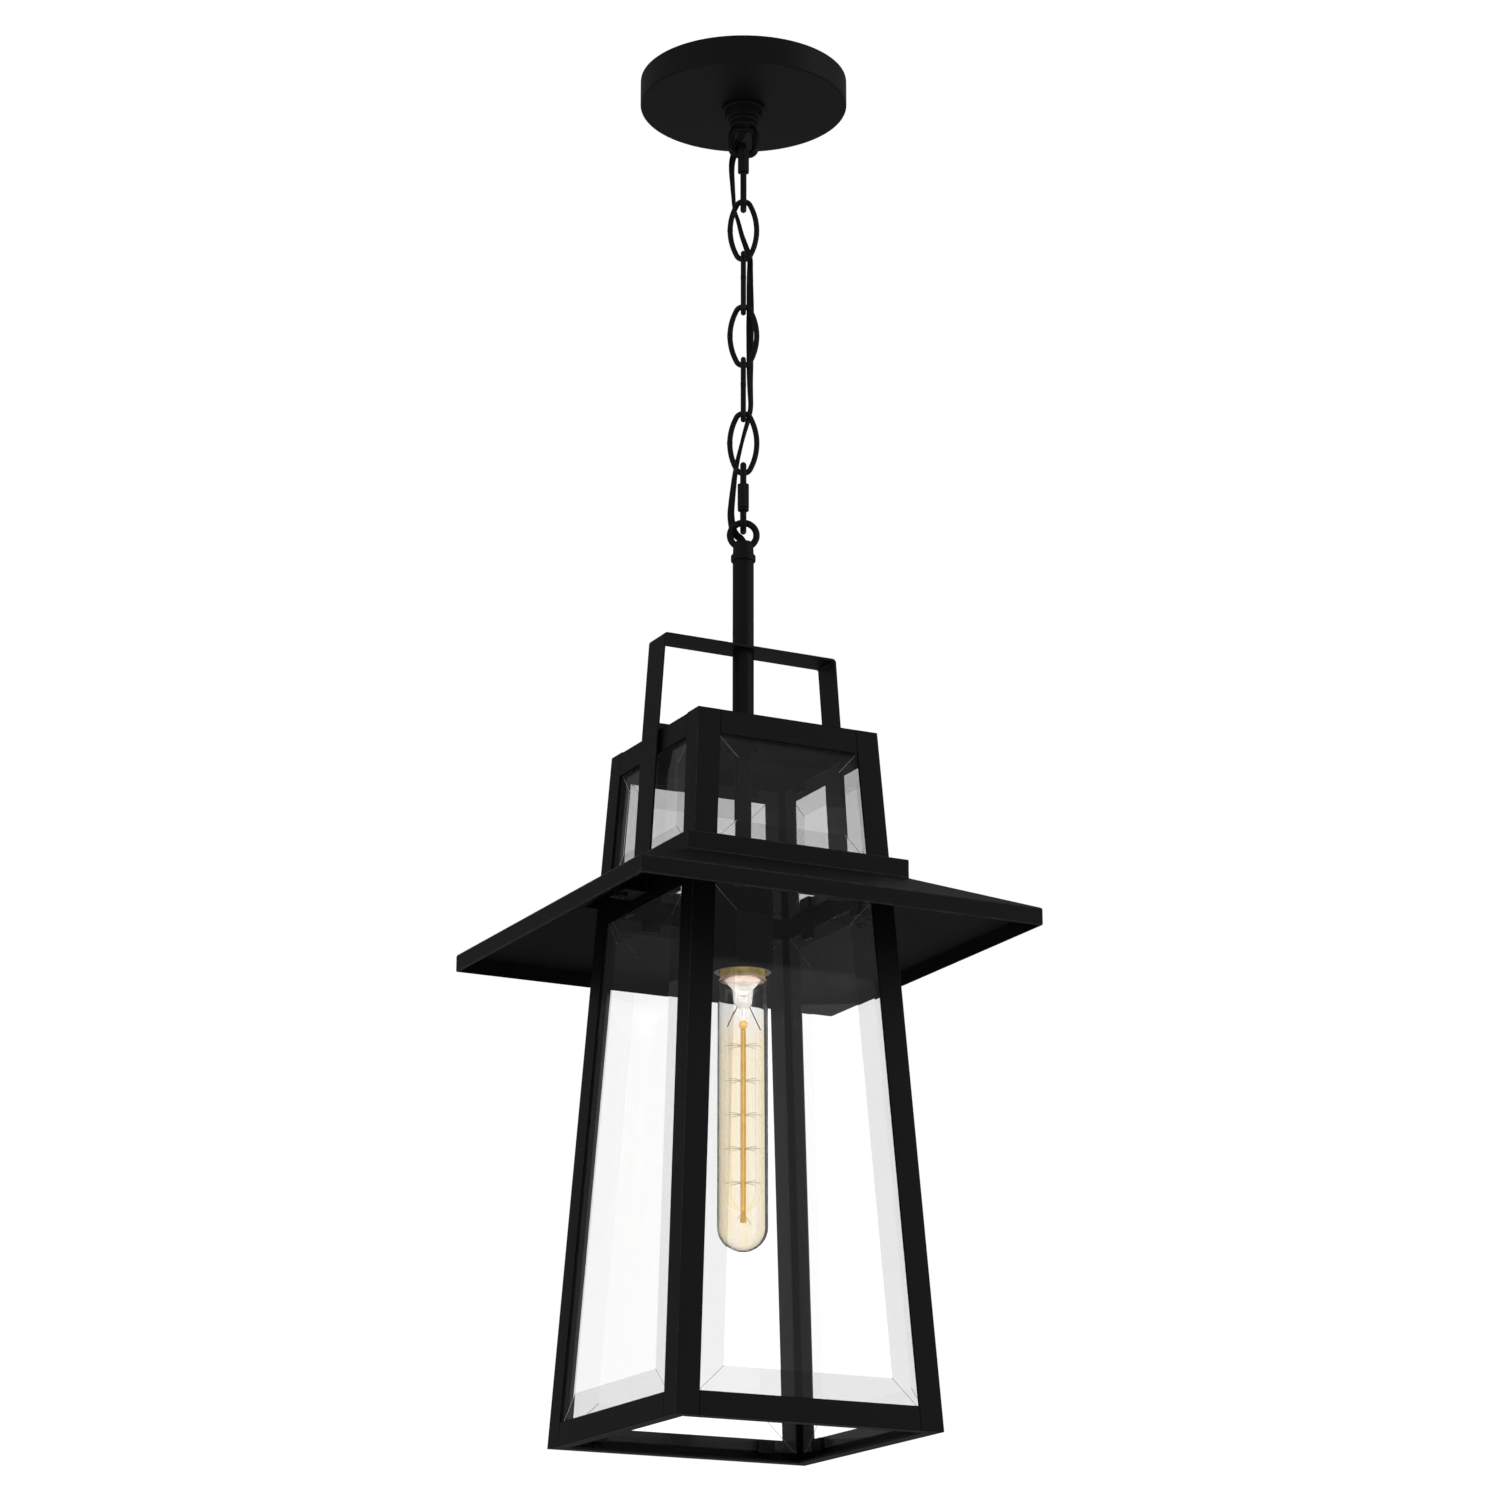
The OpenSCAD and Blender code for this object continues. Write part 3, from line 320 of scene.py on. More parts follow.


# The mount, bead, brass band and lip, centre rod and support wires are no lamps: their glow is painted light.
mount_painted_glow = glass_with_painted_glow("mount_glass_painted_glow", (0.86, 0.84, 0.82), (1.0, 0.98, 0.96), 0.3, 0.9)
bead_painted_glow = glass_with_painted_glow("bead_glass_painted_glow", (0.9, 0.6, 0.22), (1.0, 0.84, 0.55), 0.4, 0.6)
brass_band_painted_glow = glow_and_painted_light("brass_band_painted_glow", (0.5, 0.38, 0.09), (0.95, 0.75, 0.3), 0.22)
brass_lip_painted_glow = glow_and_painted_light("brass_lip_painted_glow", (0.62, 0.4, 0.28), (0.92, 0.72, 0.6), 0.26)
for plated in (brass_band_painted_glow, brass_lip_painted_glow):
    plated.node_tree.nodes[SHADER].inputs["Metallic"].default_value = 1.0
amber_rod_painted_glow = glow_and_painted_light("amber_rod_painted_glow", (0.72, 0.4, 0.075), (0.86, 0.56, 0.16), 0.75)
strand_glow = glow_and_painted_light("filament_strand", (0.95, 0.78, 0.42), (1.0, 0.88, 0.6), 0.9)
support_wire_painted_glow = glow_and_painted_light("support_wire_painted_glow", (0.35, 0.22, 0.08), (0.5, 0.34, 0.15), 0.3)


# ---------------------------------------------------------------- mesh helpers
def finish_mesh(name, bm, materials, body, nodes=(), angle=35, weighted=True, blend=None):
    """Turns a bmesh in millimetres into an object that moves with a CAD body; given blend, the object is left
    in place, attached to no body.
    """
    bmesh.ops.recalc_face_normals(bm, faces=bm.faces)
    for v in bm.verts:
        v.co *= MM
    me = bpy.data.meshes.new(name)
    bm.to_mesh(me)
    bm.free()
    if "edge" not in me.attributes:
        me.attributes.new("edge", "FLOAT", "CORNER")
    for p in me.polygons:
        p.use_smooth = True
    me.set_sharp_from_angle(angle=math.radians(angle))
    o = bpy.data.objects.new(name, me)
    bpy.context.scene.collection.objects.link(o)
    for m in materials if isinstance(materials, (list, tuple)) else [materials]:
        me.materials.append(m)
    if weighted:
        w = o.modifiers.new("weighted", "WEIGHTED_NORMAL")
        w.keep_sharp = True
    if blend:
        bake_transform(o)
    else:
        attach(o, body)
    if nodes:
        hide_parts(*nodes)
    return o


def bevel(bm, width, segments=2, limit=25, only=None, mark=1.0):
    """Rounds the sharp edges and marks the new faces: 1 is an edge that wears and carries a painted highlight
    line, -1 a joint line painted near-black as shade.
    """
    layer = bm.loops.layers.float.get("edge") or bm.loops.layers.float.new("edge")
    bmesh.ops.recalc_face_normals(bm, faces=bm.faces)
    sharp = [
        e
        for e in bm.edges
        if len(e.link_faces) == 2
        and e.calc_face_angle(0) > math.radians(limit)
        and (only is None or only(e))
    ]
    made = bmesh.ops.bevel(
        bm, geom=sharp, offset=width, segments=segments, profile=0.5, affect="EDGES", clamp_overlap=True
    )
    for f in made["faces"]:
        for l in f.loops:
            l[layer] = mark
    return bm


def arc(cx, cy, r, start, end, steps):
    return [
        (
            cx + r * math.cos(math.radians(start + (end - start) * i / steps)),
            cy + r * math.sin(math.radians(start + (end - start) * i / steps)),
        )
        for i in range(steps + 1)
    ]


def lathe(profile, around=96, close=True, bm=None, centre=(0, 0), matrix=None):
    """Turns a profile of (radius, height) points about Z."""
    bm = bm or bmesh.new()
    rings = []
    for i in range(around):
        a = 2 * math.pi * i / around
        ring = []
        for r, z in profile:
            p = Vector((centre[0] + r * math.cos(a), centre[1] + r * math.sin(a), z))
            ring.append(bm.verts.new(matrix @ p if matrix else p))
        rings.append(ring)
    n = len(profile)
    for i in range(around):
        a, b = rings[i], rings[(i + 1) % around]
        for k in range(n if close else n - 1):
            m = (k + 1) % n
            bm.faces.new((a[k], b[k], b[m], a[m]))
    bmesh.ops.remove_doubles(bm, verts=[v for r in rings for v in r], dist=1e-4)
    return bm


def sweep(path, section, ref, closed, bm=None, wear=None, material=0):
    """Sweeps a cross-section of (side, deep) points along a path. section and wear may follow the share
    of the way along; ref is a direction that is never along the path."""
    bm = bm or bmesh.new()
    layer = bm.loops.layers.float.get("edge") or bm.loops.layers.float.new("edge")
    n = len(path)
    rings = []
    for i, p in enumerate(path):
        before = path[i - 1] if closed or i else path[i]
        after = path[(i + 1) % n] if closed or i < n - 1 else path[i]
        tangent = (after - before).normalized()
        side = tangent.cross(ref).normalized()
        deep = tangent.cross(side).normalized()
        share = i / (n if closed else n - 1)
        rings.append([bm.verts.new(p + side * a + deep * b) for a, b in section(share)])
    m = len(rings[0])
    for i in range(n if closed else n - 1):
        a, b = rings[i], rings[(i + 1) % n]
        for k in range(m):
            f = bm.faces.new((a[k], a[(k + 1) % m], b[(k + 1) % m], b[k]))
            f.material_index = material
            if wear:
                for l in f.loops:
                    l[layer] = wear(l.vert.co)
    if not closed:
        for end in (rings[0], rings[-1][::-1]):
            bm.faces.new(end).material_index = material
    return bm


def round_section(r, sides=16):
    angles = [2 * math.pi * k / sides for k in range(sides)]
    ring = [(r * math.cos(a), r * math.sin(a)) for a in angles]
    return lambda share: ring


def in_plane(points, z, axis):
    """Plane points (sideways, up) to 3-D, sideways along axis."""
    return [axis * x + UP * (z + y) for x, y in points]


def block(bm, low, high, matrix=None):
    """An axis-aligned box, moved by a matrix."""
    xs, ys, zs = zip(low, high)
    corners = [Vector((x, y, z)) for x in xs for y in ys for z in zs]
    v = [bm.verts.new(matrix @ c if matrix else c) for c in corners]
    for f in ((0, 1, 3, 2), (4, 6, 7, 5), (0, 4, 5, 1), (2, 3, 7, 6), (0, 2, 6, 4), (1, 5, 7, 3)):
        bm.faces.new([v[i] for i in f])
    return bm


def prism(bm, outline_a, outline_b):
    """A solid between two outlines with the same number of points."""
    a = [bm.verts.new(Vector(p)) for p in outline_a]
    b = [bm.verts.new(Vector(p)) for p in outline_b]
    n = len(a)
    bm.faces.new(a)
    bm.faces.new(b[::-1])
    for i in range(n):
        j = (i + 1) % n
        bm.faces.new((a[i], b[i], b[j], a[j]))
    return bm


def quarter_turn(n):
    return Matrix.Rotation(math.pi / 2 * n, 4, "Z")


def hex_part(bm, z_low, z_high, af, bore, chamfer=0.5, matrix=None):
    """A hexagonal nut or sleeve with a round bore and chamfered ends."""
    around = 48
    outer = []
    for i in range(around):
        a = 2 * math.pi * i / around
        k = (a + math.pi / 6) % (math.pi / 3) - math.pi / 6
        outer.append((a, af / 2 / math.cos(k)))
    low_r = af / 2 * 0.985
    rings = []
    for z, shrink in ((z_low, 1), (z_low + chamfer, 0), (z_high - chamfer, 0), (z_high, 1)):
        rings.append([(min(r, low_r) if shrink else r, a, z) for a, r in outer])
    rings.append([(bore + 0.15, a, z_high) for a, r in outer])
    rings.append([(bore, a, z_high - 0.2) for a, r in outer])
    rings.append([(bore, a, z_low + 0.2) for a, r in outer])
    rings.append([(bore + 0.15, a, z_low) for a, r in outer])
    made = []
    for ring in rings:
        row = []
        for r, a, z in ring:
            p = Vector((r * math.cos(a), r * math.sin(a), z))
            row.append(bm.verts.new(matrix @ p if matrix else p))
        made.append(row)
    for k in range(len(made)):
        a, b = made[k], made[(k + 1) % len(made)]
        for i in range(around):
            j = (i + 1) % around
            bm.faces.new((a[i], a[j], b[j], b[i]))
    return bm


# ---------------------------------------------------------------- ceiling hardware
def slotted_bar():
    bm = bmesh.new()
    outline = []
    half, w, corner = 58, 8, 3
    for cx, cy, start in ((half - corner, w - corner, 0), (-half + corner, w - corner, 90),
                          (-half + corner, -w + corner, 180), (half - corner, -w + corner, 270)):
        outline += arc(cx, cy, corner, start, start + 90, 5)
    holes = [arc(0, 0, 5, 0, 354, 59)[:60], arc(-22, 0, 2, 0, 345, 23)[:24]]
    for side in (-1, 1):
        c = side * 44.45
        holes.append(arc(c + 6.5, 0, 2.5, -90, 90, 12) + arc(c - 6.5, 0, 2.5, 90, 270, 12))
    loops = []
    for ring in [outline] + holes:
        vs = [bm.verts.new((x, y, 0)) for x, y in ring]
        loops.append([bm.edges.new((vs[i], vs[(i + 1) % len(vs)])) for i in range(len(vs))])
    bmesh.ops.triangle_fill(bm, edges=[e for l in loops for e in l], use_beauty=True)
    made = bmesh.ops.extrude_face_region(bm, geom=bm.faces[:])
    for v in (g for g in made["geom"] if isinstance(g, bmesh.types.BMVert)):
        v.co.z = -1.6
    return bevel(bm, 0.2, 2, 60)


finish_mesh("crossbar_plate", slotted_bar(), zinc, "ceiling", ["crossbar"])


def thread_profile(r, low, high, pitch, depth):
    """Outer side of a threaded rod as stacked ridges, from low to high."""
    points, z, i = [(r - depth, low)], low, 0
    while z < high - pitch / 2:
        points.append((r - (depth if i % 2 else 0), min(z + pitch / 4, high)))
        z += pitch / 2
        i += 1
    points.append((r - depth, high))
    return points


finish_mesh(
    "nipple_thread",
    lathe(thread_profile(5, -20, -0.3, 0.95, 0.35) + [(3.3, -0.3), (3.3, -20)], 48),
    zinc, "ceiling", ["nipple"],
)
nuts = bmesh.new()
hex_part(nuts, -4.6, -1.6, 14, 5)
hex_part(nuts, -12, -9, 14, 5)
finish_mesh("nipple_lock_nuts", nuts, zinc, "ceiling", ["nipple_nuts"])
screw = bmesh.new()
shift = Matrix.Translation((-22, 0, 0))
hex_part(screw, -4.2, -1.6, 8, 0.6, 0.4, shift)
lathe(thread_profile(2, -1.6, -0.1, 0.7, 0.2) + [(0, -0.1), (0, -1.6)], 24, True, screw, (-22, 0))
finish_mesh("ground_screw_head", screw, green_plate, "ceiling", ["ground_screw"])

canopy_profile = (
    [(9.05, -16.9), (9.05, -17.6), (9.3, -17.8)]
    + arc(62.1, -16.4, 1.4, -90, 0, 8)
    + [(63.5, -1.0), (63.42, -0.3), (63.1, 0), (62.6, 0), (62.3, -0.3)]
    + arc(62.0, -16.3, 0.3, 0, -90, 4)
)
finish_mesh("canopy_cup", lathe(canopy_profile, 192), black, "canopy", ["canopy"])
collar_profile = (
    [(8.8, -17.85), (12.9, -17.85)]
    + arc(12.75, -18.35, 0.5, 90, 0, 3)
    + arc(12.65, -19.8, 0.6, 0, -90, 4)
    + [(11.7, -20.5)]
    + arc(11.0, -25.5, 0.5, 0, -90, 4)
    + [(9.2, -26), (8.8, -25.7)]
)
finish_mesh("collar_ring_nut", lathe(collar_profile, 96), black, "canopy", ["collar_ring"])

loop = lathe(
    [(5, -12), (8.2, -12), (8.75, -12.5)]
    + [(8.75 - (0.35 if i % 2 else 0), -13 - i * 0.6) for i in range(26)]
    + [(8.75, -29), (8.75, -30.4)]
    + arc(7.75, -30.6, 1, 0, -90, 4)
    + [(3.3, -32.2), (3.3, -20), (5, -20)],
    72,
)
corner = 4.5
loop_path = []
for cx, cz, start in ((2.8, 4.1, 90), (2.8, -4.1, 0), (-2.8, -4.1, -90), (-2.8, 4.1, -180)):
    loop_path += arc(cx, cz, corner, start, start - 90, 10)
sweep(in_plane(loop_path, -40.6, ALONG), round_section(2.2, 20), ACROSS, True, loop,
      wear=lambda p: max(0.0, 1 - abs(p.z + 47.2) / 1.4))
finish_mesh("canopy_hanging_loop", loop, black, "ceiling", ["canopy_loop"])


# ---------------------------------------------------------------- chain
def rounded_path(half_w, half_h, bend, steps=10, open_at=None):
    """Rounded rectangle, clockwise from the top middle. open_at leaves a (low, high) gap in the left leg."""
    points = [(0, half_h)]
    points += arc(half_w - bend, half_h - bend, bend, 90, 0, steps)
    points += [(half_w, 0)]
    points += arc(half_w - bend, -half_h + bend, bend, 0, -90, steps)
    points += [(0, -half_h)]
    points += arc(-half_w + bend, -half_h + bend, bend, -90, -180, steps)
    if open_at:
        left = [(-half_w, open_at[0])]
        right = [(-half_w, open_at[1])]
        upper = arc(-half_w + bend, half_h - bend, bend, 180, 90, steps)
        return right + upper + points + left
    points += [(-half_w, 0)]
    points += arc(-half_w + bend, half_h - bend, bend, 180, 90, steps)
    return points


QUICK_LEN, QUICK_HALF, QUICK_R = 43.5, 8.1, 1.9


def quick_link(
    name, top_z, gap_low, gap_high, sleeve_low, sleeve_high, body, sleeve_body, cad, cad_sleeve, collar
):
    centre = top_z - QUICK_LEN / 2
    path = rounded_path(QUICK_HALF, QUICK_LEN / 2 - QUICK_R, 5.5, 12, (gap_low - centre, gap_high - centre))
    low_z, high_z = top_z - QUICK_LEN + 2 * QUICK_R, top_z - 2 * QUICK_R

    def rub(p):
        near = min(abs(p.z - low_z), abs(p.z - high_z))
        return max(0.0, 1 - near / 1.3) if abs(p.dot(ACROSS)) < 5 else 0.0

    bm = sweep(in_plane(path, centre, ACROSS), round_section(QUICK_R, 20), ALONG, False, wear=rub)
    leg = Matrix.Translation(ACROSS * -QUICK_HALF)
    if collar:
        lathe([(QUICK_R, collar - 1.8), (3.1, collar - 1.8), (3.35, collar - 1.5), (3.35, collar - 0.4),
               (3.1, collar), (QUICK_R, collar)], 32, True, bm, (leg.translation.x, leg.translation.y))
    finish_mesh(name, bm, black_wire, body, [cad])
    bm = bmesh.new()
    turn = Matrix.Rotation(CHAIN_YAW, 4, "Z")
    hex_part(bm, sleeve_low, sleeve_high, 6.8, 1.95, 0.7, leg @ turn)
    finish_mesh(name + "_sleeve", bm, black_wire, sleeve_body, [cad_sleeve])


quick_link("quick_link_upper", -42.9, -60.5, -54.5, -65.0, -50.3, "top_quick_link", "top_sleeve",
           "quick_link_top", "quick_link_top_sleeve", None)
quick_link("quick_link_lower", -252.5, -281.2, -276.2, -283.3, -268.6, "bottom_quick_link", "bottom_sleeve",
           "quick_link_bottom", "quick_link_bottom_sleeve", -283.5)


def oval_path(half_w, half_h, end_angle=65, straight=1.0):
    """Oval of tight end arcs and wide side arcs, clockwise from the top."""
    s, c = math.sin(math.radians(end_angle)), math.cos(math.radians(end_angle))
    lean = c / (1 - s)
    end_r = (half_h - straight * s - lean * (half_w - straight * c)) / (1 - c - lean * s)
    side_r = (half_w - end_r * s - straight * c) / (1 - s)
    quarter = arc(0, half_h - end_r, end_r, 90, 90 - end_angle, 10)
    quarter += arc(half_w - side_r, 0, side_r, 90 - end_angle, 0, 9)[1:]
    right = quarter + [(x, -y) for x, y in quarter[:-1][::-1]]
    return right + [(-x, y) for x, y in right[1:-1][::-1]]


LINK_LEN, LINK_PITCH, LINK_1_TOP = 41.7, 34.8, -79.0
for i in range(5):
    centre = LINK_1_TOP - i * LINK_PITCH - LINK_LEN / 2
    flat, normal = (ALONG, ACROSS) if i % 2 == 0 else (ACROSS, ALONG)
    ends = (centre + LINK_LEN / 2 - 3.3, centre - LINK_LEN / 2 + 3.3)
    outline = oval_path(8.1, LINK_LEN / 2 - 1.65)
    lengths = [0.0]
    for k in range(len(outline)):
        a, b = outline[k], outline[(k + 1) % len(outline)]
        lengths.append(lengths[-1] + math.hypot(b[0] - a[0], b[1] - a[1]))
    # a fine groove and a slight swelling where the wire's two ends meet, half way up the left leg
    seam_at = min(range(len(outline)), key=lambda k: (outline[k][0] > 0, abs(outline[k][1])))
    fine = []
    for k, p in enumerate(outline):
        if k == seam_at:
            for d in (1.4, 0.8, 0.3, 0.12, 0.0, -0.12, -0.3, -0.8, -1.4):
                fine.append((p[0], p[1] - d, abs(d)))
        else:
            fine.append((*p, 9.0))

    def wire(share, fine=fine):
        k = min(int(round(share * len(fine))), len(fine) - 1)
        d = fine[k][2]
        r = 1.65 + (0.0 if d > 1.2 else 0.1 if d > 0.2 else 0.02 if d > 0.05 else -0.28)
        return [(r * math.cos(2 * math.pi * j / 18), r * math.sin(2 * math.pi * j / 18)) for j in range(18)]

    bm = sweep(in_plane([(x, y) for x, y, d in fine], centre, flat), wire, normal, True,
               wear=lambda p, ends=ends: max(0.0, 1 - min(abs(p.z - e) for e in ends) / 1.2))
    finish_mesh(f"chain_link_{i + 1}", bm, black_wire, f"link_{i + 1}", [f"link_{i + 1}"])

# ---------------------------------------------------------------- supply cord
KNOTS = [
    (0, 0, -12), (0, 0, -31), (-2.2, 1.8, -38), (-5.4, 5.6, -45), (-7, 5.4, -52), (-7.2, 4.6, -59),
    (-6.8, 4.4, -66), (-6.2, 4.6, -75), (-5.4, 4.8, -84), (-3.2, 4.4, -92), (-1, 4.4, -101),
    (1.6, 5.5, -108.5), (3.9, 6, -116), (4, 5, -125), (4, 4.6, -134), (4.1, 4.6, -143),
    (4.2, 4.8, -151), (4, 4.6, -160), (4, 4.6, -169), (4, 4.6, -178), (4, 4.8, -187), (4, 4.8, -196),
    (4.2, 5, -204), (4.4, 7, -213), (2.8, 8.4, -221), (0.6, 6.6, -230), (-1.4, 4.8, -239),
    (-3.4, 4.8, -248), (-5, 5, -257), (-6, 4.8, -266), (-6.9, 4.6, -275), (-7.4, 5, -283),
    (-6.4, 5.2, -291), (-4.4, 3.6, -296), (-1, 0.7, -300.5), (0, 0, -305.5),
]
CORD_ENDS = [0, 6, 10, 14, 18, 22, 26, 30, 35]
CORD_BODIES = ["ceiling", "top_quick_link", "link_1", "link_2", "link_3", "link_4", "link_5",
               "bottom_quick_link", "lantern"]
PIVOTS = [-49.2, -84.5, -119.05, -153.85, -188.65, -223.45, -258.25, -294.1]

knots = [Vector(p) for p in KNOTS]


def on_knots(t):
    """Point on the smooth curve through all the cord's knots, t counting knots."""
    k = min(int(t), len(knots) - 2)
    f = t - k
    a, b = knots[max(k - 1, 0)], knots[k]
    c, d = knots[k + 1], knots[min(k + 2, len(knots) - 1)]
    p = 0.5 * (2 * b + (c - a) * f + (2 * a - 5 * b + 4 * c - d) * f * f + (3 * b - a - 3 * c + d) * f ** 3)
    return ALONG * p.x + ACROSS * p.y + UP * p.z


def cord_section(z):
    """Two conductors side by side with a groove between them, turned by the cord's twist."""
    turn = 2 * math.pi * (z + 160) / 290
    ring = []
    for k in range(28):
        a = 2 * math.pi * k / 28
        x = 2.3 * math.cos(a)
        y = 1.15 * math.sin(a)
        y *= (1 - 0.34 * math.exp(-((x / 0.5) ** 2))) * (1 + 0.1 * min(abs(x), 1.6))
        ring.append((x * math.cos(turn) - y * math.sin(turn), x * math.sin(turn) + y * math.cos(turn)))
    return ring


for i in range(8):
    steps = 10
    start, end = CORD_ENDS[i], CORD_ENDS[i + 1]
    ts = [start + (end - start) * k / (steps * (end - start)) for k in range(steps * (end - start) + 1)]
    path = [on_knots(t) for t in ts]
    last = len(path) - 1

    def section(share, path=path, last=last):
        return cord_section(path[min(int(round(share * last)), last)].z)

    bm = sweep(path, section, ACROSS, False)
    pivot = PIVOTS[i] * MM
    o = finish_mesh(f"cord_{i + 1}", bm, cord_black, None, [f"supply_cord_{i + 1}"], 60, False,
                    (CORD_BODIES[i], CORD_BODIES[i + 1], (0, 0, pivot + 0.011), (0, 0, pivot - 0.011)))

# ---------------------------------------------------------------- stem
RING_Z = -297.8
ring_path = arc(0, 0, 7.9, 90, -270, 64)[:-1]
bm = sweep(in_plane(ring_path, RING_Z, ALONG), round_section(2.0, 20), ACROSS, True,
           wear=lambda p: max(0.0, 1 - abs(p.z + 291.9) / 1.2))
lathe(
    [(2.5, -303.2), (2.8, -302.9), (5.0, -302.6)]
    + arc(5.2, -303.5, 0.9, 90, 0, 4)
    + [(6.1, -306.5), (6.2, -309.2), (6.5, -310.5), (4.8, -310.5), (4.8, -306), (2.5, -306)],
    64, True, bm,
)
finish_mesh("stem_ring", bm, black, "lantern", ["stem_loop"])
bm = lathe(
    [(4.8, -310.4), (6.6, -310.4)]
    + arc(6.5, -311.4, 0.9, 90, 0, 4)
    + arc(6.5, -313.9, 0.9, 0, -90, 4)
    + [(4.8, -314.8)],
    64,
)
finish_mesh("stem_shoulder_ring", bm, black, "lantern", ["stem_shoulder"])
bm = lathe(
    [(5.3, -314.8), (6.1, -314.8), (6.3, -315.1), (6.3, STRAP_TOP_Z + 0.3), (6.3, STRAP_TOP_Z),
     (5.3, STRAP_TOP_Z)],
    96,
)
finish_mesh("stem_pipe", bm, black, "lantern", ["stem_tube"])


# ---------------------------------------------------------------- handle
def strap_outline():
    """Outer and inner lines of the handle's section, right foot to left foot, as (x, z)."""
    top, half, z0 = -370.0, 57.0, CAGE_TOP_Z
    foot, toe = FOOT_Z, 81.0
    outer = [(toe, foot + STRAP_T), (leg_at(foot + STRAP_T) + 1.2, foot + STRAP_T)]
    outer += [(leg_at(foot + 2.7) + 0.25, foot + 1.85), (leg_at(foot + 3.2), foot + 3.2)]
    outer += [(leg_at(z0), z0), (half, top - 2.5)]
    outer += arc(half - 2.5, top - 2.5, 2.5, 4, 90, 7)
    inner = [(toe, foot), (leg_at(foot) + 0.9, foot)]
    inner += [(leg_at(foot) - 0.7, foot + 0.25), (leg_at(foot) - STRAP_T + 0.1, foot + 1.0)]
    inner += [(leg_at(foot + 3) - STRAP_T, foot + 3), (leg_at(z0) - STRAP_T, z0)]
    inner += [(half - STRAP_T, top - 2.5)]
    inner += arc(half - 2.5, top - 2.5, 1.0, 4, 90, 5)
    return outer, inner


outer, inner = strap_outline()
line = outer + [(-x, z) for x, z in outer[::-1]] + [(-x, z) for x, z in inner] + inner[::-1]
bm = bmesh.new()
prism(bm, [(x, -STRAP_W / 2, z) for x, z in line], [(x, STRAP_W / 2, z) for x, z in line])
bmesh.ops.remove_doubles(bm, verts=bm.verts, dist=1e-3)
bevel(bm, 0.28, 2, 50)
finish_mesh("handle", bm, black, "lantern", ["handle_strap"], 30)

bm = bmesh.new()
top_x, low_x = half_at(STRAP_TOP_Z) + STRAP_OFF, half_at(CAGE_TOP_Z) + STRAP_OFF
outline = [(-top_x, STRAP_TOP_Z), (top_x, STRAP_TOP_Z), (low_x, CAGE_TOP_Z), (-low_x, CAGE_TOP_Z)]
prism(bm, [(x, -STRAP_W / 2, z) for x, z in outline], [(x, STRAP_W / 2, z) for x, z in outline])
bevel(bm, 0.35)
finish_mesh("cross_strap", bm, black, "lantern", ["handle_cross_strap"])


def pan_head(bm, matrix, r, h, slot_depth=0.8):
    """A pan head with a cross recess, its underside on z = 0 and its top towards +Z."""
    dome = [math.radians(a) for a in range(20, 91, 10)]
    profile = [(0, h - 0.05)]
    profile += [(r * 0.98 * math.sin(a), h * (0.35 + 0.65 * math.cos(a))) for a in dome]
    profile += [(r, h * 0.3), (r, 0), (0, 0)]
    lathe(profile, 36, False, bm, (0, 0), matrix)
    for turn in (0, math.pi / 2):
        block(bm, (-r * 0.55, -r * 0.1, h * 0.93), (r * 0.55, r * 0.1, h * 1.02),
              matrix @ Matrix.Rotation(turn + 0.4, 4, "Z"))
    return bm


bm = bmesh.new()
for side in (-1, 1):
    down = Matrix.Translation((side * FOOT_SCREW_X, 0, FOOT_Z)) @ Matrix.Rotation(math.pi, 4, "X")
    pan_head(bm, down, 3.5, 2.6)
finish_mesh("foot_pan_screws", bm, screw_black, "lantern", ["foot_screws"], 40)

bm = bmesh.new()
for side in (-1, 1):
    rows = []
    for k in range(32):
        a = 2 * math.pi * k / 32
        x, y = side * FOOT_SCREW_X + 4.5 * math.cos(a), 4.5 * math.sin(a)
        rows.append((x, y, roof_slope_z(abs(x)) - ROOF_SHEET))
    low = [(x, y, FOOT_Z + STRAP_T) for x, y, z in rows]
    prism(bm, low, rows)
finish_mesh("roof_weld_bosses", bm, black, "lantern", ["roof_bosses"], 40)

TILT = math.atan(TAPER)


def on_face(turn, z, inset):
    """Frame lying in one of the cage's faces: X along the face, Z up the slope, Y inwards."""
    return (
        quarter_turn(turn)
        @ Matrix.Translation((0, -(half_at(z) - inset), z))
        @ Matrix.Rotation(-TILT, 4, "X")
    )


bm = bmesh.new()
for turn in (1, 3):
    out = on_face(turn, -523, 0) @ Matrix.Rotation(math.pi / 2, 4, "X")
    lathe([(0, -1.5), (1.5, -1.5), (1.5, 0), (2.8, 0), (2.8, 1.49), (0, 1.49)], 32, False, bm, (0, 0), out)
    lathe([(2.8, 3.0), (2.75, 3.5), (2.3, 4.0), (1.2, 4.25), (0, 4.3)], 32, False, bm, (0, 0), out)
finish_mesh("leg_rivet_heads", bm, screw_black, "lantern", ["leg_rivets"], 40)


# ---------------------------------------------------------------- cage
def level(points_at, z):
    return [(x, y, z) for x, y in points_at(z)]


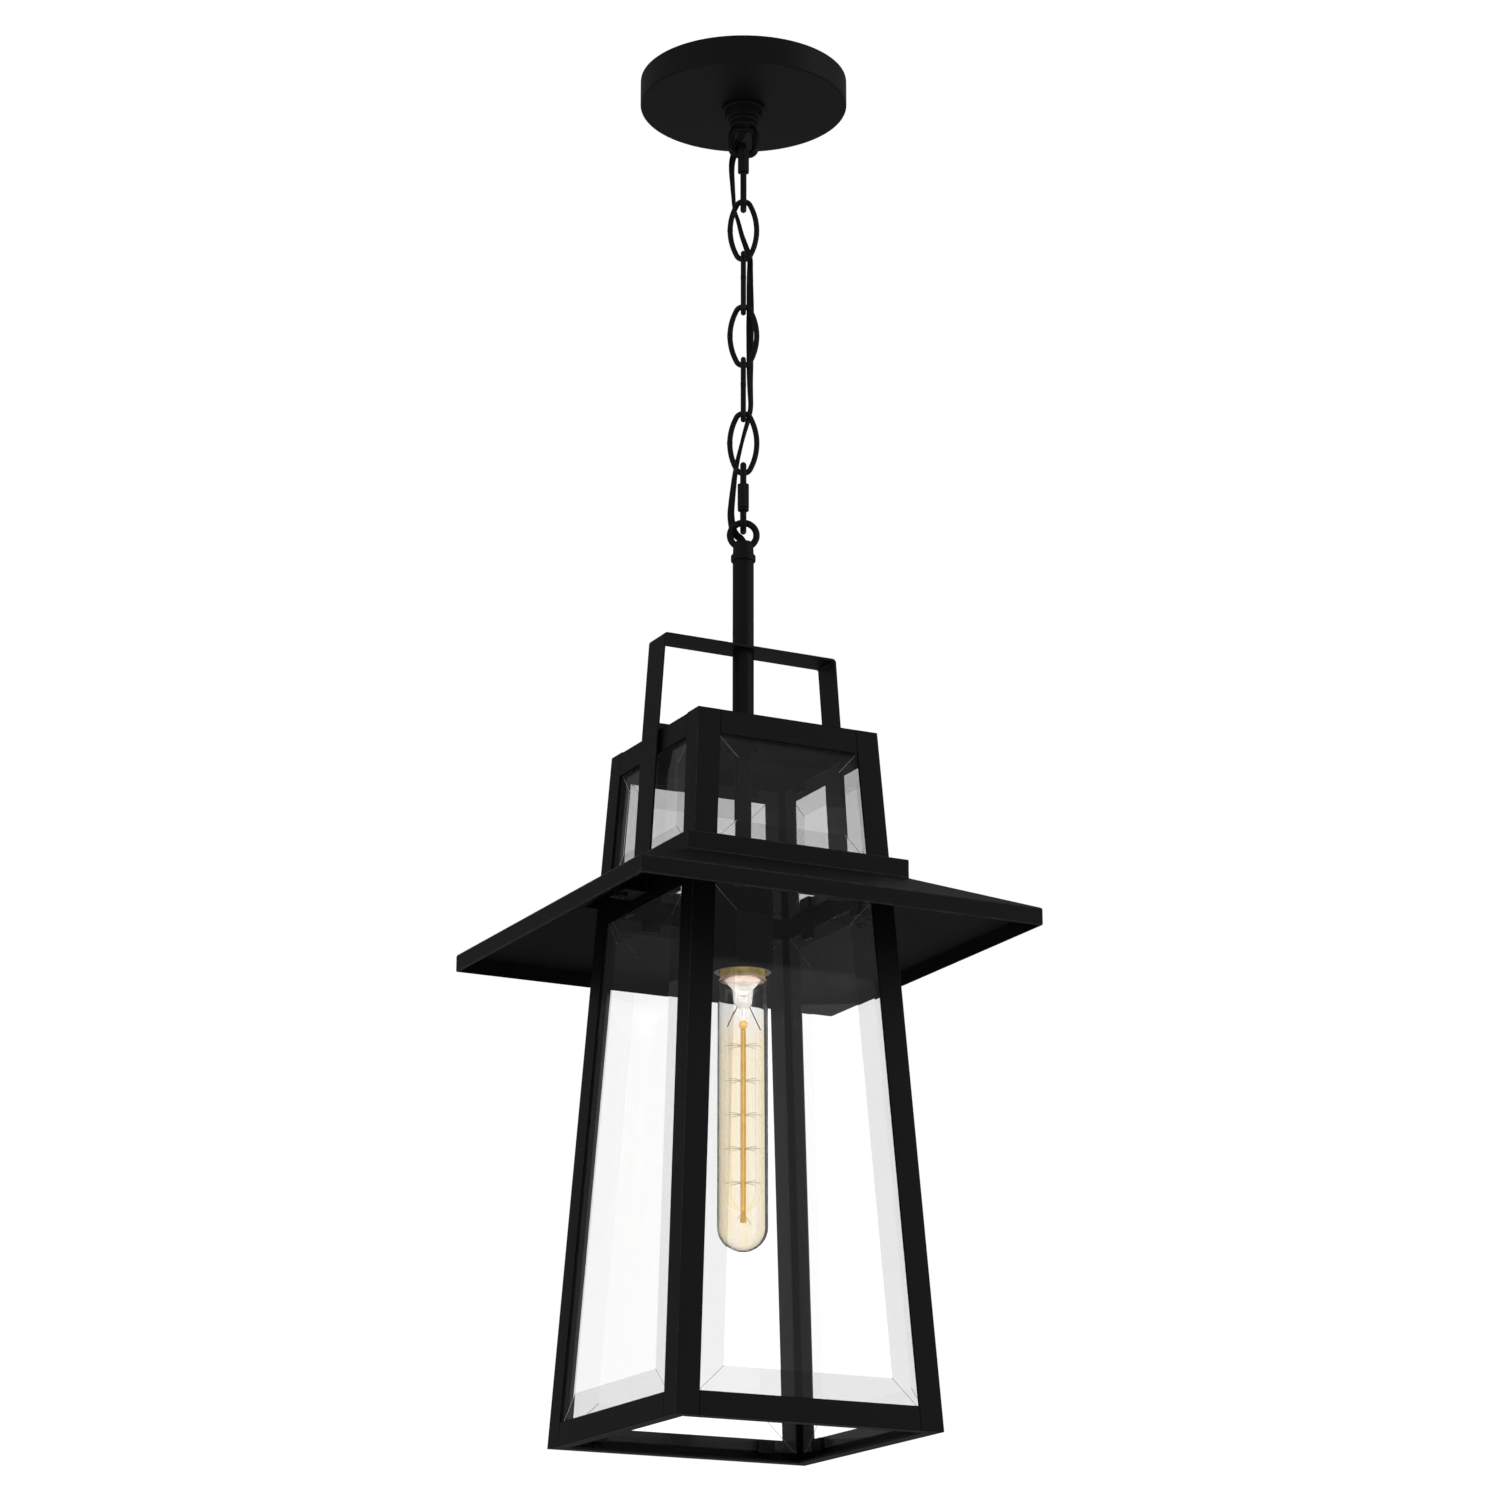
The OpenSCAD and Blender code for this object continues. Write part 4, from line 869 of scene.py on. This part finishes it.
def angle_post(turn, z_low, z_high):
    bm = bmesh.new()

    def section(z):
        w = half_at(z)
        return [(-w, -w), (-w + FLANGE_W, -w), (-w + FLANGE_W, -w + SHEET), (-w + SHEET, -w + SHEET),
                (-w + SHEET, -w + FLANGE_W), (-w, -w + FLANGE_W)]

    prism(bm, level(section, z_low), level(section, z_high))

    def outer_corner(e):
        return all(abs(v.co.x - v.co.y) < 0.01 and v.co.x < -half_at(v.co.z) + 0.01 for v in e.verts)

    # this bevel takes the light edge colour: a painted highlight line down the outer corner, with some wear
    bevel(bm, 0.45, 3, 40, outer_corner)
    bevel(bm, 0.2, 1, 60, None, -1.0)
    bmesh.ops.transform(bm, matrix=quarter_turn(turn), verts=bm.verts)
    return bm


for turn in range(4):
    post = angle_post(turn, CAGE_BOTTOM_Z, CAGE_TOP_Z + 0.5)
    finish_mesh(f"corner_post_{turn + 1}", post, black, "lantern", ["corner_posts"], 50)


def rail(turn, z_low, z_high, lip=0.0):
    bm = bmesh.new()
    ends = []
    for sign in (-1, 1):
        pts = []
        for inset, z in ((0, z_high), (0, z_low), (SHEET, z_low), (SHEET, z_high)):
            w = half_at(z)
            pts.append((sign * (w - FLANGE_W), -w + inset, z))
        ends.append(pts)
    prism(bm, *ends)
    if lip:
        # the folded lip runs from corner to corner, its ends cut at 45 degrees
        top = z_low + SHEET
        outer, inner = half_at(top) - SHEET + 0.5, half_at(top) - lip
        line = [(-outer + 0.1, -outer), (outer - 0.1, -outer), (inner - 0.1, -inner), (-inner + 0.1, -inner)]
        prism(bm, [(x, y, z_low + 0.04) for x, y in line], [(x, y, top) for x, y in line])
    bevel(bm, 0.2, 1, 40, None, -1.0)
    bmesh.ops.transform(bm, matrix=quarter_turn(turn), verts=bm.verts)
    return bm


for turn in range(4):
    # two of the top rails stand a hair higher, so that no two faces share a plane
    lift = 0.45 if turn % 2 == 0 else 0.0
    for part, low, high, lip in (
        ("top", TOP_RAIL_Z, CAGE_TOP_Z + lift, 0.0),
        ("mid", MID_BOTTOM_Z, MID_TOP_Z, 0.0),
        ("bottom", CAGE_BOTTOM_Z, BOTTOM_RAIL_Z, LIP_W),
    ):
        bm = rail(turn, low, high, lip)
        finish_mesh(f"{part}_rail_{turn + 1}", bm, black, "lantern", [f"{part}_rails"])

bm = bmesh.new()
top_in, low_in = half_at(CAGE_TOP_Z) - SHEET, half_at(CAGE_TOP_Z - SHEET) - SHEET
prism(bm, [(sx * low_in, sy * low_in, CAGE_TOP_Z - SHEET) for sx, sy in CORNERS],
      [(sx * top_in, sy * top_in, CAGE_TOP_Z) for sx, sy in CORNERS])
bevel(bm, 0.2)
finish_mesh("cage_top_plate", bm, black, "lantern", ["top_plate"])


# ---------------------------------------------------------------- roof
def roof_mesh():
    bm = bmesh.new()
    near, far = ROOF_IN - 1.4, ROOF_OUT - 1.4
    under_z = ROOF_TOP_Z - 1.4
    folds = [(ROOF_IN, ROOF_TOP_Z), (ROOF_IN, ROOF_FOLD_Z), (ROOF_OUT, ROOF_EDGE_Z), (ROOF_OUT, ROOF_LOW_Z)]
    rows = [(half_at(ROOF_TOP_Z), ROOF_TOP_Z)] + folds
    rows += [(far, ROOF_LOW_Z)] + [(w, roof_slope_z(w) - ROOF_SHEET) for w in (far, near)]
    rows += [(near, under_z), (half_at(under_z), under_z)]
    rings = [[bm.verts.new((sx * w, sy * w, z)) for sx, sy in CORNERS] for w, z in rows]
    for k in range(len(rings)):
        a, b = rings[k], rings[(k + 1) % len(rings)]
        for i in range(4):
            j = (i + 1) % 4
            bm.faces.new((a[i], a[j], b[j], b[i]))
    # folds of sheet metal are rounder than cut edges; their bevels take the light edge colour, partly wear
    # and partly a painted highlight line
    def fold(e):
        return all(
            any(abs(max(abs(v.co.x), abs(v.co.y)) - w) < 1e-3 and abs(v.co.z - z) < 1e-3 for w, z in folds)
            for v in e.verts
        )

    return bevel(bm, 0.7, 3, 10, fold)


finish_mesh("roof_skirt", roof_mesh(), black, "lantern", ["roof"], 12)


# ---------------------------------------------------------------- glass
def pane(turn, window_top, window_bottom, visible, name, cad, coats):
    top_z, bottom_z = window_top + GLASS_LAP, window_bottom - GLASS_LAP
    top = half_at(top_z) - FLANGE_W + GLASS_LAP
    low = half_at(bottom_z) - FLANGE_W + GLASS_LAP
    height = (top_z - bottom_z) / math.cos(TILT)
    b, depth = visible + GLASS_LAP, 1.4
    slope = (low - top) / height
    k = math.sqrt(1 + slope * slope)
    rings = []
    for inset, y in ((b, 0.0), (0.0, depth), (0.0, GLASS_T)):
        up_x = top + slope * inset - inset * k
        low_x = low - slope * inset - inset * k
        up_z, low_z = -inset, -height + inset
        rings.append([(-up_x, y, up_z), (up_x, y, up_z), (low_x, y, low_z), (-low_x, y, low_z)])
    bm = bmesh.new()
    m = on_face(turn, top_z, SHEET)
    v = [[bm.verts.new(m @ Vector(p)) for p in ring] for ring in rings]
    bm.faces.new(v[0]).material_index = 0
    bm.faces.new(v[2][::-1]).material_index = 0
    for a, c, mat in ((0, 1, 1), (1, 2, 2)):
        for i in range(4):
            j = (i + 1) % 4
            bm.faces.new((v[a][i], v[c][i], v[c][j], v[a][j])).material_index = mat
    mitres = [bm.edges.get((v[0][i], v[1][i])) for i in range(4)]
    bmesh.ops.recalc_face_normals(bm, faces=bm.faces)
    made = bmesh.ops.bevel(bm, geom=mitres, offset=0.2, segments=1, affect="EDGES", clamp_overlap=True)
    for f in made["faces"]:
        f.material_index = 3
    finish_mesh(name, bm, coats + [mitre_line], "lantern", [cad], 1, False)


for turn in range(4):
    pane(turn, TOP_RAIL_Z, MID_TOP_Z, 12.5, f"upper_glass_{turn + 1}", f"upper_pane_{turn + 1}",
         [upper_pane_painted_shade, upper_bevel_painted_shade, pane_edge])
    pane(turn, MID_BOTTOM_Z, BOTTOM_RAIL_Z, 14.5, f"lower_glass_{turn + 1}", f"lower_pane_{turn + 1}",
         [pane_face, far_bevel_paler_shade if turn in (1, 2) else bevel_painted_shade, pane_edge])

CLIP_H, CLIP_T, CLIP_W, CLIP_WALL = 7.2, 3.0, 10.7, 1.2
CLIP_X = 53.5
CLIP_Z = BOTTOM_RAIL_Z - GLASS_LAP - CLIP_WALL + CLIP_H
bm = bmesh.new()
for turn in range(4):
    for side in (-1, 1):
        for z, x, foot in (
            (CLIP_Z, CLIP_X, -CLIP_H),
            (TOP_RAIL_Z + GLASS_LAP + CLIP_WALL, 30, -CLIP_WALL),
            (MID_TOP_Z - GLASS_LAP + CLIP_H - CLIP_WALL, 30, -CLIP_H),
            (MID_BOTTOM_Z + GLASS_LAP + CLIP_WALL, 30, -CLIP_WALL),
        ):
            m = on_face(turn, z, SHEET) @ Matrix.Translation((side * x, 0, 0))
            block(bm, (-CLIP_W / 2, GLASS_T, -CLIP_H), (CLIP_W / 2, GLASS_T + CLIP_T, 0), m)
            block(bm, (-CLIP_W / 2, 0, foot), (CLIP_W / 2, GLASS_T + CLIP_T - 0.02, foot + CLIP_WALL), m)
bevel(bm, 0.3, 2, 60)
finish_mesh("glass_holding_clips", bm, screw_black, "lantern", ["glass_clips"])
bm = bmesh.new()
for turn in range(4):
    for side in (-1, 1):
        m = on_face(turn, CLIP_Z, 0) @ Matrix.Translation((side * CLIP_X, SHEET, -9))
        m = m @ Matrix.Rotation(-math.pi / 2, 4, "X")
        pan_head(bm, m, 1.8, 1.2)
finish_mesh("clip_screw_heads", bm, screw_black, "lantern", ["clip_screws"], 40)

# ---------------------------------------------------------------- lamp
bm = lathe(
    [(3.4, -306), (4.8, -306), (4.8, -314)] + [(4.8, -430)]
    + thread_profile(4.8, -505, -431.2, 1.0, 0.25)[::-1] + [(3.4, -505)],
    48,
)
finish_mesh("lamp_pipe", bm, black, "lantern", ["inner_pipe"], 50)
bm = bmesh.new()
hex_part(bm, -434.2, -431.2, 14, 4.8)
hex_part(bm, -502, -499, 14, 4.8)
finish_mesh("lamp_pipe_nuts", bm, black, "lantern", ["pipe_nuts"])
cup = (
    [(4.9, -502)]
    + arc(12.3, -507, 5, 90, 0, 8)
    + [(17.3, -566.2)]
    + arc(16.85, -566.45, 0.45, 0, -180, 6)
    + [(16.4, -566.2), (16.4, -507.2)]
    + arc(12.3, -507, 4.1, 0, 90, 6)
    + [(4.9, -503.2)]
)
finish_mesh("socket_cup_shell", lathe(cup, 96), black, "lantern", ["socket_cup"])
finish_mesh(
    "socket_porcelain",
    lathe([(2.6, -524), (15.8, -524), (16.4, -524.6), (16.4, -566.0), (16.1, -566.4), (14.1, -566.4),
           (13.9, -566.1), (13.9, -541), (2.6, -541)], 64),
    porcelain, "lantern", ["socket_insulator"],
)
shell = [(13.9, -541), (13.9, -565), (13.7, -565.2), (13.5, -565)]
shell += [(13.4 + (0.3 if k % 2 else 0.0), -564 + k * 1.75) for k in range(13)]
bm = lathe(shell + [(13.5, -541)], 64)
finish_mesh("socket_screw_shell", bm, brass, "lantern", ["socket_shell"], 50)
finish_mesh(
    "socket_centre_contact",
    lathe([(2.6, -541), (4.2, -541), (4.2, -544.7), (3.8, -545.2), (2.6, -545.2)], 32),
    brass, "lantern", ["socket_contact"],
)
bm = bmesh.new()
for side in (-1, 1):
    lathe([(0, -541), (1.2, -541), (1.2, -306), (0, -306)], 16, False, bm, (side * 1.3, 0))
finish_mesh("lamp_lead_wires", bm, lead_white, "lantern", ["lamp_leads"])

# bulb base: rolled thread, knurled band, flared lip, black glass ring and solder tip
base = [(11.95, -565.6), (12.4, -565.4), (12.8, -565.0)]
z = -564.6
while z < -552.5:
    base += [(13.1 - 0.45 * (1 - math.sin(math.pi * s)), z + 3.6 * s) for s in (0.0, 0.25, 0.5, 0.75)]
    z += 3.6
base += [(12.2, -550.8), (11.0, -550)]
base += [(11.0, -550.9), (11.7, -552), (11.9, -564.2), (11.95, -564.8)]
finish_mesh("bulb_screw_base", lathe(base, 96), brass, "bulb", ["bulb_base"], 50)
rows = 10
band = bmesh.new()
rings = []
for k in range(rows + 2):
    edge = k in (0, rows + 1)
    z = -569.6 + 5.1 * min(max(k - 1, 0), rows - 1) / (rows - 1)
    ring = []
    for i in range(216):
        r = 12.0 if edge else 12.5 + 0.17 * ((i // 2 + k) % 2)
        a = 2 * math.pi * i / 216
        ring.append(band.verts.new((r * math.cos(a), r * math.sin(a), z)))
    rings.append(ring)
for k in range(rows + 2):
    a, b = rings[k], rings[(k + 1) % (rows + 2)]
    for i in range(216):
        j = (i + 1) % 216
        band.faces.new((a[i], a[j], b[j], b[i]))
finish_mesh("bulb_knurled_band", band, brass_band_painted_glow, "bulb", (), 50)
lip = lathe([(12.0, -569.4), (12.6, -569.6), (12.75, -569.9), (13.2, -570.6), (13.5, -571.0), (13.35, -571.3),
             (12.0, -571.3)], 96)
lathe([(11.2, -570.2), (11.25, -570.8), (9.2, -571.4), (6.3, -572.6), (5.7, -572.3), (5.7, -570.2)],
      64, True, lip)
finish_mesh("bulb_flared_lip", lip, brass_lip_painted_glow, "bulb", (), 40)
bm = lathe([(11.0, -550.05), (9.5, -549.0), (5.2, -546.6), (4.8, -547.6), (10.6, -550.6)], 64)
finish_mesh("bulb_black_ring", bm, vitrite, "bulb", ())
tip = [(0, -545.5), (2.6, -545.6), (4.4, -546.1), (5.2, -546.7), (4.6, -547.4), (0, -547.4)]
finish_mesh("bulb_solder_tip", lathe(tip, 48, False), solder, "bulb", ())

# bulb glass: neck, straight tube, round end with a small pinch
R, DOME = 14.2, -714.8
outside = [(11.8, -567.5), (11.85, -570.0), (12.1, -571.4), (13.2, -571.7), (13.9, -572.5), (R, -574.0)]
outside += [(R, -574.0 + (DOME + 574.0) * k / 6) for k in range(1, 6)]
outside += arc(0, DOME, R, 0, -78, 22)
outside += [(2.4, -728.35), (1.9, -728.3), (1.5, -728.55), (1.0, -728.9), (0, -729)]
WALL = 0.55
inside = []
for r, z in outside[:-5]:
    round_share = min(1, max(0, (DOME - z) / R))
    inside.append((max(r - WALL, 0), z + WALL * math.sin(math.pi / 2 * round_share)))
inside += [(0, DOME - R + 0.95)]
bm = lathe(outside + inside[::-1], 128)
finish_mesh("bulb_tube", bm, bulb_amber, "bulb", ["bulb_glass"], 60, False)

mount = bmesh.new()
lathe([(10.8, -568.5), (10.1, -571.2), (7.9, -574.0), (6.1, -576.0), (5.7, -577.0), (5.25, -582.0),
       (4.8, -585.6), (3.8, -586.9), (1.4, -587.9), (0, -587.9), (0, -585.0), (3.5, -584.4), (4.1, -581.0),
       (4.6, -576.8), (6.3, -574.0), (8.5, -571.0), (9.6, -568.5)], 48, True, mount)
lathe([(0, -587.6), (1.3, -587.6), (1.25, -595.2), (0, -595.4)], 24, False, mount)
finish_mesh("bulb_glass_mount", mount, mount_painted_glow, "bulb", ["bulb_mount"], 60, False)
finish_mesh("bulb_bead", lathe([(0, -594.9)] + arc(0, -597.3, 2.65, 80, -80, 12) + [(0, -599.7)], 32, False),
            bead_painted_glow, "bulb", (), 60, False)
rod = [(0, -599.2), (1.45, -599.4), (1.55, -603), (1.6, -660), (1.55, -709), (1.9, -711), (1.6, -712.3),
       (0, -712.6)]
finish_mesh("bulb_centre_rod", lathe(rod, 32, False), amber_rod_painted_glow, "bulb", (), 60)

wires = bmesh.new()


def thin(points, r, bm, material=0, sides=8):
    pts = [Vector(p) for p in points]
    direction = (pts[-1] - pts[0]).normalized()
    ref = Vector((0.31, 0.17, 0.93)) if abs(direction.z) < 0.9 else Vector((0.95, 0.21, 0.1))
    sweep(pts, round_section(r, sides), ref, False, bm, material=material)


def toward(angle, r, z):
    return Vector((r * math.cos(angle), r * math.sin(angle), z))


STRANDS = 8
LEVELS = [-609.7, -630.2, -650.1, -669.8, -689.5]
for z in LEVELS:
    for i in range(STRANDS):
        a = CHAIN_YAW + 2 * math.pi * i / STRANDS
        thin([toward(a, 1.4, z), toward(a, 5, z + 0.15), toward(a, 9.7, z), toward(a, 10.3, z - 0.4),
              toward(a, 10.3, z - 1.0)], 0.13, wires, 0, 6)
for i in range(STRANDS):
    a = CHAIN_YAW + 2 * math.pi * i / STRANDS
    points = []
    for s in range(41):
        t = s / 40
        z = -603 - 103 * t
        ripple = 0.12 * math.sin(t * 60 * math.pi)
        r = 10.0 + 0.25 * math.cos(t * 5 * 2 * math.pi) + ripple
        if t > 0.93:
            r -= (t - 0.93) / 0.07 * 7.6
        points.append(toward(a, r, z))
    thin(points, 0.17, wires, 1, 6)
for sign, reach, low in ((-1, 8.5, -598.4), (1, 9.9, -600.4)):
    foot = ALONG * sign
    middle = foot * (reach + 3.5) * 0.5 + UP * (low - 586.6) * 0.5
    end = foot * reach + UP * low
    thin([foot * 3.0 + UP * -579, foot * 3.5 + UP * -586.6, middle, end], 0.3, wires, 2, 8)
exhaust = [Vector((x, y, -580.4)) for x, y in arc(0, 0, 1.9, 0, 360, 24)[:-1]]
sweep(exhaust, round_section(0.3, 8), UP, True, wires, material=2)
thin([ALONG * -1.2 + UP * -708, ALONG * -2.6 + UP * -709.2, ALONG * -3.4 + UP * -710.6], 0.13, wires, 0, 6)
thin([ALONG * 1.2 + UP * -708.6, ALONG * 3.4 + UP * -711.5, ALONG * 4.6 + UP * -713.6], 0.13, wires, 0, 6)
finish_mesh("bulb_filament_wires", wires, [support_wire_painted_glow, strand_glow, copper], "bulb", ["bulb_filament"],
            60, False)

# ---------------------------------------------------------------- stage, light and camera
def stage_plane(name, size, z, colour):
    me = bpy.data.meshes.new(name)
    h = size / 2
    me.from_pydata([(-h, -h, z), (h, -h, z), (h, h, z), (-h, h, z)], [], [(0, 1, 2, 3)])
    o = bpy.data.objects.new(name, me)
    bpy.context.scene.collection.objects.link(o)
    me.materials.append(principled(name + "_paint", Roughness=0.7, Base_Color=(*colour, 1))[0])
    return o


stage_plane("studio_floor", 12, -2.4, (0.86, 0.86, 0.86))

world = bpy.data.worlds.new("studio")
bpy.context.scene.world = world
world.use_nodes = True
nt = world.node_tree
back = nt.nodes["Background"]
back.inputs["Color"].default_value = (1, 1, 1, 1)
path = nt.nodes.new("ShaderNodeLightPath")

# The background seen straight on is plain white, a little brighter through glass, and dim for light
# that bounces, so that the black coat keeps its depth.
BACKGROUND, THROUGH_GLASS, BOUNCED = 1.0, 1.25, 0.15
bounced = calculate(nt, "ADD", path.outputs["Diffuse Depth"], path.outputs["Glossy Depth"])
straight = calculate(nt, "LESS_THAN", bounced, 0.5)
through = calculate(nt, "MULTIPLY", straight, THROUGH_GLASS - BOUNCED)
direct = calculate(nt, "MULTIPLY", path.outputs["Is Camera Ray"], THROUGH_GLASS - BACKGROUND)
strength = calculate(nt, "SUBTRACT", calculate(nt, "ADD", through, BOUNCED), direct)
nt.links.new(strength, back.inputs["Strength"])


def softbox(name, place, target, width, height, power, colour=(1, 1, 1)):
    light = bpy.data.lights.new(name, "AREA")
    light.shape = "RECTANGLE"
    light.size, light.size_y = width, height
    light.energy = power
    light.color = colour
    o = bpy.data.objects.new(name, light)
    bpy.context.scene.collection.objects.link(o)
    o.location = place
    o.rotation_euler = (Vector(target) - Vector(place)).to_track_quat("-Z", "Y").to_euler()
    return o


softbox("key_right", (2.2, -1.6, 0.3), (0, 0, -0.5), 1.2, 2.2, 4)
softbox("fill_left", (-2.6, -0.6, -0.6), (0, 0, -0.5), 1.0, 2.2, 2)
softbox("under_fill", (0.3, -1.2, -2.0), (0, 0, -0.5), 1.6, 1.2, 0.8)

camera = bpy.data.cameras.new("camera")
camera.lens = 98.9
camera.sensor_width = 36
cam = bpy.data.objects.new("camera", camera)
bpy.context.scene.collection.objects.link(cam)
cam.location = (-1.0493, -2.0629, -1.1405)
cam.rotation_euler = (math.radians(90 + 17.026), 0, math.radians(-27.06))
bpy.context.scene.camera = cam
bpy.context.scene.view_settings.view_transform = "Standard"
